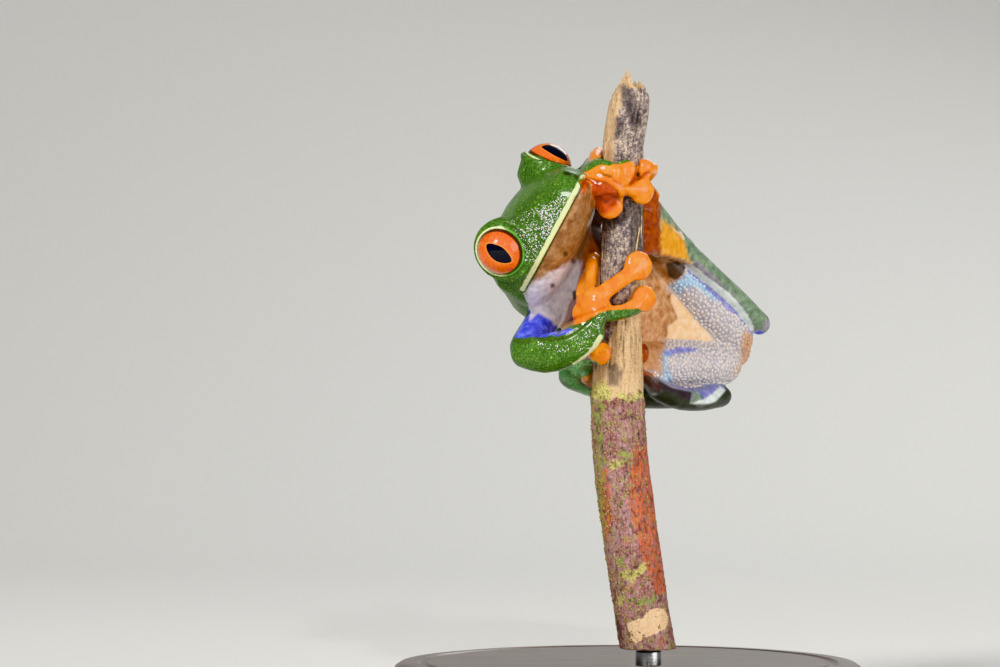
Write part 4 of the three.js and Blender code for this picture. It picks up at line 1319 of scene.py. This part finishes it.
# the stick: height, sideways place and radius down its length; it stands in one plane
stickPlan = {
    "depth": -10.0,
    "foot": 8.4,
    "around": 132,
    "along": 560,
    "profile": [(78.4, 0.15, 1.35), (76.9, 0.1, 2.05), (75.3, 0.0, 2.42), (73.4, -0.27, 2.53),
                (69.5, -0.79, 2.5), (57.0, -0.91, 2.62), (48.4, -1.28, 2.74), (41.7, -1.52, 3.08),
                (39.7, -1.58, 3.17), (34.5, -1.34, 3.29), (31.7, -1.15, 3.35), (28.2, -0.79, 3.35),
                (24.4, -0.27, 3.38), (19.5, 0.49, 3.4), (13.4, 1.35, 3.3), (8.4, 2.25, 3.36)],
    # height of the broken rim at sideways places, in front and behind
    "jagFront": [(-2.4, 76.0), (-1.6, 78.1), (-0.85, 79.15), (-0.4, 78.75), (-0.12, 78.0), (0.3, 77.0),
                 (0.86, 76.9), (1.1, 76.3), (1.5, 76.2), (2.0, 76.4), (2.5, 75.4)],
    "jagBack": [(-2.4, 75.2), (-1.5, 76.6), (-0.6, 77.6), (0.0, 77.2), (0.7, 77.7), (0.98, 77.3), (1.34, 77.7),
                (2.05, 77.2), (2.5, 75.6)],
    "pit": 75.2,            # where the broken end sinks to in its middle
    "crust": 39.2,          # the bark reaches up to here
    "wall": 0.93,
    "cap": 0.02,
    # noises: how fine round the stick, how fine along it, and where they start
    "streak": (6, 0.09, 0),
    "fibre": (17, 0.3, 20),
    "lump": (2.4, 0.2, 40),
    "crumb": (9, 1.6, 0),
    "scale": (7, 0.9, 0),
}


def measured(measure, a, b, c):
    flat = zip(np.ravel(a).tolist(), np.ravel(b).tolist(), np.ravel(c).tolist())
    return np.array([measure(Vector(place)) for place in flat])


def borderGap(place):
    # nearness to the border between two cells
    near = noise.voronoi(place)[0]
    return near[1] - near[0]


def makeStick():
    plan = stickPlan
    bpy.ops.mesh.primitive_grid_add(x_subdivisions=plan["around"], y_subdivisions=plan["along"], size=2)
    stick = named("perch_wood")
    grid = readPoints(stick.data)
    turn = grid[:, 0] * math.pi
    share = (grid[:, 1] + 1) / 2
    cosine, sine = np.cos(turn), np.sin(turn)
    sideways = cosine * 2.4
    top = np.where(sine < 0, interpolate(plan["jagFront"], sideways), interpolate(plan["jagBack"], sideways))
    top += measured(noise.noise, cosine * 9, sine * 9, 0 * sine + 3.0) * 0.5 - 0.1
    wallShare = np.clip((share - plan["cap"]) / (plan["wall"] - plan["cap"]), 0, 1)
    z = plan["foot"] + wallShare * (top - plan["foot"])
    # the broken end sinks towards its middle in fibres
    inner = np.clip((share - plan["wall"]) / (1 - plan["wall"]), 0, 1)
    fibres = measured(noise.noise, cosine * (1 - inner) * 5, sine * (1 - inner) * 5, 0 * sine + 9.0)
    z = np.where(inner > 0, top + (plan["pit"] + fibres * 1.4 - top) * smoothstep(0, 0.75, inner), z)
    streak, fibre, lump, crumb, scale = [
        measured(measure, cosine * fine, sine * fine, z * along + start)
        for measure, (fine, along, start) in (
            (noise.noise, plan["streak"]), (noise.noise, plan["fibre"]), (noise.noise, plan["lump"]),
            (noise.noise, plan["crumb"]), (borderGap, plan["scale"]))]
    groove = np.clip(1 - np.abs(streak + 0.12) / 0.05, 0, 1) * smoothstep(-0.1, 0.2, lump) * smoothstep(37, 43, z)
    bark = plan["crust"] + measured(noise.noise, cosine * 2.5, sine * 2.5, 0 * z + 5) * 1.6 - z
    inBark = smoothstep(-0.1, 0.25, bark)
    barkCrack = (1 - smoothstep(0.0, 0.3, scale)) * smoothstep(0.05, 0.3, crumb) * inBark
    relief = lump * 0.16 + (fibre * 0.07 + streak * 0.1) * (1 - inBark) - groove * 0.16
    relief += inBark * (0.1 + crumb * 0.1 + fibre * 0.05) - barkCrack * 0.1
    # the torn edge of the bark stands proud
    relief += np.exp(-((bark - 0.5) / 0.5) ** 2) * (0.1 + crumb * 0.15)
    closed = np.where(share < plan["cap"], share / plan["cap"], 1.0) * (1 - inner)
    radius = (interpolate(plan["profile"], z, 2) + relief - 0.06) * closed
    points = np.stack([interpolate(plan["profile"], z) + radius * cosine, plan["depth"] + radius * sine, z], axis=1)
    writePoints(stick.data, points)
    writeField(stick.data, "groove", np.maximum(groove, barkCrack))
    writeField(stick.data, "bark", bark)
    closeMesh(stick)
    return stick


# areas of the stick seen from the front, drawn like those of the skin
stickPatches = [
    ("peeled",
        "628,623 635,620 643,618 648,611 656,608 664,609 668,617 668,622 665,629 656,634 643,637 642,641 "
        "635,643 631,639 630,633 627,628"),
    ("ember", "638,446 647,446 652,480 659,520 662,560 668,592 656,594 644,560 636,530 630,500 632,470"),
    ("ember", "600,470 606,470 612,520 606,540 602,520"),
    ("dark", "634,205 648,205 649,262 643,264 636,262 630,250 630,225"),
    ("lichen", "612,462 616,459 622,461 624,466 616,469 611,468"),
    ("lichen", "621,572 627,568 636,570 644,563 647,570 640,577 632,582 622,580"),
    ("lichen", "617,595 622,593 624,599 620,607 616,603"),
    ("lichen", "590,388 600,380 606,386 614,392 610,400 598,400 590,398"),
    ("lichen", "616,392 630,394 644,392 648,397 634,400 618,398"),
    ("moss", "656,655 664,652 672,640 680,667 654,667"),
    ("moss", "623,452 629,449 631,460 626,466 621,462"),
    ("moss", "617,558 622,556 623,568 618,568"),
    ("moss", "640,600 656,596 657,604 642,606 630,604 628,600"),
    ("moss", "592,400 603,400 604,470 606,560 600,560 596,480"),
    ("dark", "616,616 620,622 623,640 619,640 615,626"),
    ("dark", "620,86 626,84 636,96 642,124 634,132 626,112"),
    ("dark", "616,118 624,122 622,134 614,140"),
    # painted shadow of the left hand on the stick
    ("dark", "602,206 628,206 634,214 622,224 608,232 600,230"),
    # painted shadow of the right toes on the stick
    ("dark", "606,364 616,362 622,372 618,386 608,384"),
]


# patches of the stick over its bark or wood: tones and their stops, edge noise, raggedness, softness
stickTones = {
    "peeled": ("c79e74 ddbb92 ead0ac", (0.3, 0.5, 0.68), "fine", 0.7, 0.15),
    "lichen": ("7d8038 b2a860 d0c484", (0.35, 0.5, 0.62), "middle", 3.0, 0.4),
    "moss": ("4a5a20 86a03c", (0.35, 0.6), "middle", 3.0, 0.6),
}


def dressStick(stick):
    graph = Graph("perch_weathered")
    where = graph.place()
    streaky = graph.stretched(where, (1, 1, 0.09))
    streak = graph.noise(streaky, 2.4, 6.0, 0.65, 0.3)
    thin = graph.noise(streaky, 7.0, 4.0, 0.7)
    blotch = graph.noise(where, 0.5, 6.0, 0.65)
    noises = {"middle": graph.noise(where, 1.3, 6.0, 0.65), "fine": graph.noise(where, 4.0, 5.0, 0.7)}
    middle, fine = noises.values()
    # weathered wood, darker in ragged blotches and pits, with crisp dark and pale flecks
    grain = graph.sum(streak, 0.5, fine, 0.5)
    grey = graph.colours(grain, "4a4048 83746c ab9a8e d2c2b2", (0.36, 0.44, 0.53, 0.64))
    dark = graph.colours(grain, "2e262e 5d5158 8d7c78", (0.38, 0.5, 0.62))
    ragged = graph.span(graph.sum(blotch, 0.6, middle, 0.4), 0.505, 0.53)
    colour = graph.mix(graph.times(ragged, 0.75), grey, dark)
    pits = graph.times(graph.span(graph.noise(where, 5.0, 4.0, 0.75), 0.46, 0.42), graph.span(blotch, 0.42, 0.54))
    colour = graph.tint(colour, pits, 0.7, "3a3240")
    crisp = graph.noise(where, 2.2, 6.0, 0.8, 0.4)
    colour = graph.tint(colour, graph.span(crisp, 0.53, 0.55), 0.75, "4a3f48")
    colour = graph.tint(colour, graph.span(crisp, 0.46, 0.44), 0.6, "d9c4ac")
    # the left side above the hands and the splinters at the top are paler, and so is the bare wood further down
    wood = graph.colours(grain, "846648 b8966c d2b188 e6cca4", (0.36, 0.45, 0.54, 0.66))
    colour = graph.mix(graph.times(graph.mask("paler_left_and_top", middle, 2.4, 0.5), 0.85), colour, wood)
    colour = graph.mix(graph.mask("bare", streak, 1.4, 0.5), colour, wood)
    # bark with crusts and orange places
    bark = graph.colours(blotch, "7c3e2c 945e5c ae888c a6583c", (0.36, 0.46, 0.54, 0.63))
    barkGrain = graph.colours(graph.sum(fine, 0.55, thin, 0.45), "3c2224 865a54 b4928a d8c0b0",
                              (0.38, 0.48, 0.56, 0.66))
    bark = graph.mix(0.5, bark, barkGrain)
    crust = graph.colours(graph.noise(where, 7.0, 3.0, 0.7), "6a5c34 b2a66c", (0.4, 0.6))
    bark = graph.mix(graph.times(graph.span(middle, 0.53, 0.57), 0.75), bark, crust)
    ember = graph.times(graph.mask("ember", thin, 3.0, 0.5), graph.span(thin, 0.43, 0.51))
    bark = graph.mix(graph.times(ember, 0.8), bark, graph.colours(thin, "7c2c10 c4561a dc7a34", (0.4, 0.55, 0.68)))
    colour = graph.mix(graph.mask("bark", fine, 0.7, 0.3), colour, bark)
    edges = {}
    for name, (tones, stops, edgeNoise, edgeRagged, soft) in stickTones.items():
        edges[name] = graph.mask(name, noises[edgeNoise], edgeRagged, soft)
        strength = edges[name]
        if name == "moss":
            strength = graph.times(graph.times(strength, graph.span(fine, 0.42, 0.56)), 0.85)
        colour = graph.mix(strength, colour, graph.colours(fine, tones, stops))
    # dark places on the stick, among them painted shadow under the left hand and under the right toes
    colour = graph.tint(colour, graph.mask("dark", streak, 2.2, 0.7), 0.7, "2c2024")
    white = graph.times(graph.span(graph.cells(where, 2.4), 0.14, 0.06), graph.span(blotch, 0.5, 0.6))
    colour = graph.tint(colour, white, 0.8, "d9d4c8")
    # painted shade in the grooves and bark cracks, none on the peeled strip
    grooveShade = graph.math("SUBTRACT", graph.field("groove"), edges["peeled"], clamp=True)
    colour = graph.tint(colour, grooveShade, 0.72, "2a1f1e")
    graph.dress(stick, Base_Color=colour, Normal=graph.bump(graph.sum(thin, 0.8, fine, 0.7), 0.8, 0.00016),
                Roughness=graph.sum(fine, 0.3, 0.5))


stickGround = 2.0     # its fields are cut off this far from their edges


def layStickFields(stick):
    points = readPoints(stick.data)
    u, v = toPicture(points)
    z = points[:, 2]
    inFront = stickPlan["depth"] + 0.6 - points[:, 1]
    sideways = points[:, 0] - interpolate(stickPlan["profile"], z)
    zones = {
        # the bare wood goes all the way round, higher on the right
        "bare": np.minimum(49 + 6.6 * sideways / 2.8 - z, z - 38.8),
        # pale are the left side above the hands and the splinters at the top
        "paler_left_and_top": np.maximum(np.minimum(-1.2 - sideways, z - 64), z - 76.6),
    }
    for name, drawn in stickPatches:
        zone = np.minimum(polygonDepth(u, v, outline(drawn)) * pixel, inFront)
        zones[name] = np.maximum(zones.get(name, -stickGround), zone)
    for name, zone in zones.items():
        writeField(stick.data, name, np.clip(zone, -stickGround, stickGround))


crumbs = {"count": 900, "sizes": (0.07, 0.19), "above": 9.4, "seed": 5}


def addCrumbs(stick):
    # crusty bits that stand off the bark, thicker on its left side and in patches
    points, normals = readPoints(stick.data), readNormals(stick.data)
    depth = readRows(stick.data.attributes["bark"].data, "value", 1, np.float32)[:, 0]
    random.seed(crumbs["seed"])
    order = np.flatnonzero((depth > 0.1) & (points[:, 2] > crumbs["above"])).tolist()
    random.shuffle(order)
    spots = []
    for i in order:
        thick = noise.noise(Vector(points[i]) * 0.55) - normals[i][0] * 0.25
        if random.uniform(-0.1, 0.5) > thick:
            continue
        size = random.uniform(*crumbs["sizes"])
        shape = (size, size * random.uniform(0.7, 1.3), size * random.uniform(0.5, 0.9))
        spots.append((points[i], normals[i], shape))
        if len(spots) == crumbs["count"]:
            break
    bpy.ops.mesh.primitive_ico_sphere_add(subdivisions=1, radius=1)
    made = scattered("bark_crumbs", bpy.context.object, spots)
    graph = Graph("crumbs_crusty")
    colour = graph.colours(graph.noise(graph.place(), 2.2, 3.0, 0.7), "5a3c34 8c7a48 b4a468 8a6a58 d4cab8",
                           (0.34, 0.44, 0.52, 0.6, 0.7))
    graph.dress(made, Base_Color=colour, Roughness=0.75)
    return made


# loose fibres of the peeling strip, as the front view shows them
strands = [
    "646,204 644,214 640,226 637.5,240 636,252 633,264",
    "642,205 641.5,218 641,232 642,246",
    "603,250 602,262 599,274 597,286",
    "630,266 628,274 622,282",
]
strandSteps = 24


def addStrands(stick):
    tree = meshTree(stick.data)
    made = []
    for drawn in strands:
        hits = [tree.ray_cast(*viewRay(u, v))[0] for u, v in outline(drawn)]
        line = smoothLine([hit + Vector((0, -0.04, 0)) for hit in hits if hit is not None], strandSteps)
        radii = 0.1 * (1 - np.linspace(-1, 1, strandSteps) ** 4 * 0.8)
        made.append(tube("strand", line.tolist(), radii.tolist(), 8))
    pick(*made)
    bpy.ops.object.join()
    strand = named("bark_strands")
    graph = Graph("strand_dry")
    colour = graph.colours(graph.noise(graph.place(), 1.6, 4.0), "8c7048 c8ac7c e2cca0", (0.35, 0.5, 0.65))
    graph.dress(strand, Base_Color=colour, Roughness=0.7)
    return strand


stand = {
    # the turned edge from the middle of the underside round to the middle of the top
    "edge": [(0, 0), (29.2, 0), (29.7, 0.2), (29.95, 0.7), (29.95, 2.6), (29.7, 3.1), (29.1, 3.35), (28.9, 3.7),
             (29.0, 4.2), (29.15, 4.8), (28.9, 5.5), (28.3, 5.9), (27.4, 6.0), (26.2, 6.0), (25.9, 5.78),
             (25.5, 5.72), (25.1, 5.8), (24.9, 6.0), (12.0, 6.0), (0, 6.0)],
    "sides": 128,
    "rodRadius": 1.58,
}


def addBase():
    bpy.ops.mesh.primitive_plane_add(size=1)
    base = named("display_base")
    editAll(base, lambda: bpy.ops.mesh.delete(type="VERT"))
    edge = stand["edge"]
    base.data.from_pydata([(x, 0, z) for x, z in edge], [(i, i + 1) for i in range(len(edge) - 1)], [])
    turned = base.modifiers.new("turned", "SCREW")
    turned.steps = stand["sides"]
    turned.render_steps = stand["sides"]
    turned.use_merge_vertices = True
    turned.merge_threshold = 0.001
    applyModifiers(base)
    closeMesh(base)
    graph = Graph("walnut_oiled")
    grained = graph.stretched(graph.place(), (0.07, 1, 1))
    rings = graph.noise(grained, 0.32, 4.0, 0.55, 1.2)
    pores = graph.noise(grained, 3.2, 4.0, 0.7)
    colour = graph.mix(0.3, graph.colours(rings, "20110a 3b2214 54331e 6b452b", (0.3, 0.45, 0.58, 0.72)),
                       graph.colours(pores, "150a06 4a2c1a", (0.35, 0.55)))
    graph.dress(base, Base_Color=colour, Normal=graph.bump(pores, 0.2, 0.00008),
                Roughness=graph.sum(pores, 0.25, 0.24), Coat_Weight=0.35, Coat_Roughness=0.18)
    return base


def addRod():
    corners = readPoints(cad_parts["stand_rod"].data) / mm
    low, high = corners.min(axis=0), corners.max(axis=0)
    bpy.ops.mesh.primitive_cylinder_add(vertices=64, radius=stand["rodRadius"], depth=high[2] - low[2],
                                        location=tuple((low + high) / 2))
    rod = named("display_rod")
    applyAll(rod)
    bevel = rod.modifiers.new("eased", "BEVEL")
    bevel.width = 0.12
    bevel.segments = 3
    applyModifiers(rod)
    graph = Graph("steel_brushed")
    lines = graph.noise(graph.stretched(graph.place(), (0.4, 0.4, 14)), 1.6, 3.0)
    graph.dress(rod, Base_Color=graph.colours(lines, "8e9092 c2c3c4", (0.3, 0.7)), Metallic=1.0,
                Roughness=graph.sum(lines, 0.2, 0.2), Normal=graph.bump(lines, 0.25, 0.00004))
    return rod


def deliver(piece, slot, *nodes):
    pick(piece)
    bpy.ops.object.shade_smooth()
    # pieces are shaped in millimetres and brought down to metres here
    piece.scale = (mm, mm, mm)
    bpy.ops.object.transform_apply(scale=True)
    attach(piece, "root")
    if nodes:
        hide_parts(*nodes)


glintGrains = addGlintGrains()
deliver(addPebbles(), "frog_skin")
deliver(glintGrains, "frog_skin")
deliver(addLip(), "frog_skin")
for sign, side in ((1, "left"), (-1, "right")):
    deliver(addLids(sign, side), "frog_skin")
    deliver(addEye(sign, side), "frog_eye", "eye_" + side)
deliver(skin, "frog_skin", *fleshNodes)
print("the frog stands ready")

stick = makeStick()
layStickFields(stick)
dressStick(stick)
for made in (addCrumbs(stick), addStrands(stick)):
    deliver(made, "perch_bark")
deliver(stick, "perch_bark", "perch_stick")
print("stick:", len(stick.data.polygons), "faces")

for piece, slot, node in ((addBase(), "stand_wood", "stand_base"), (addRod(), "stand_steel", "stand_rod")):
    deliver(piece, slot, node)
    bpy.ops.object.shade_smooth_by_angle(angle=math.radians(35))
print("stand is set")
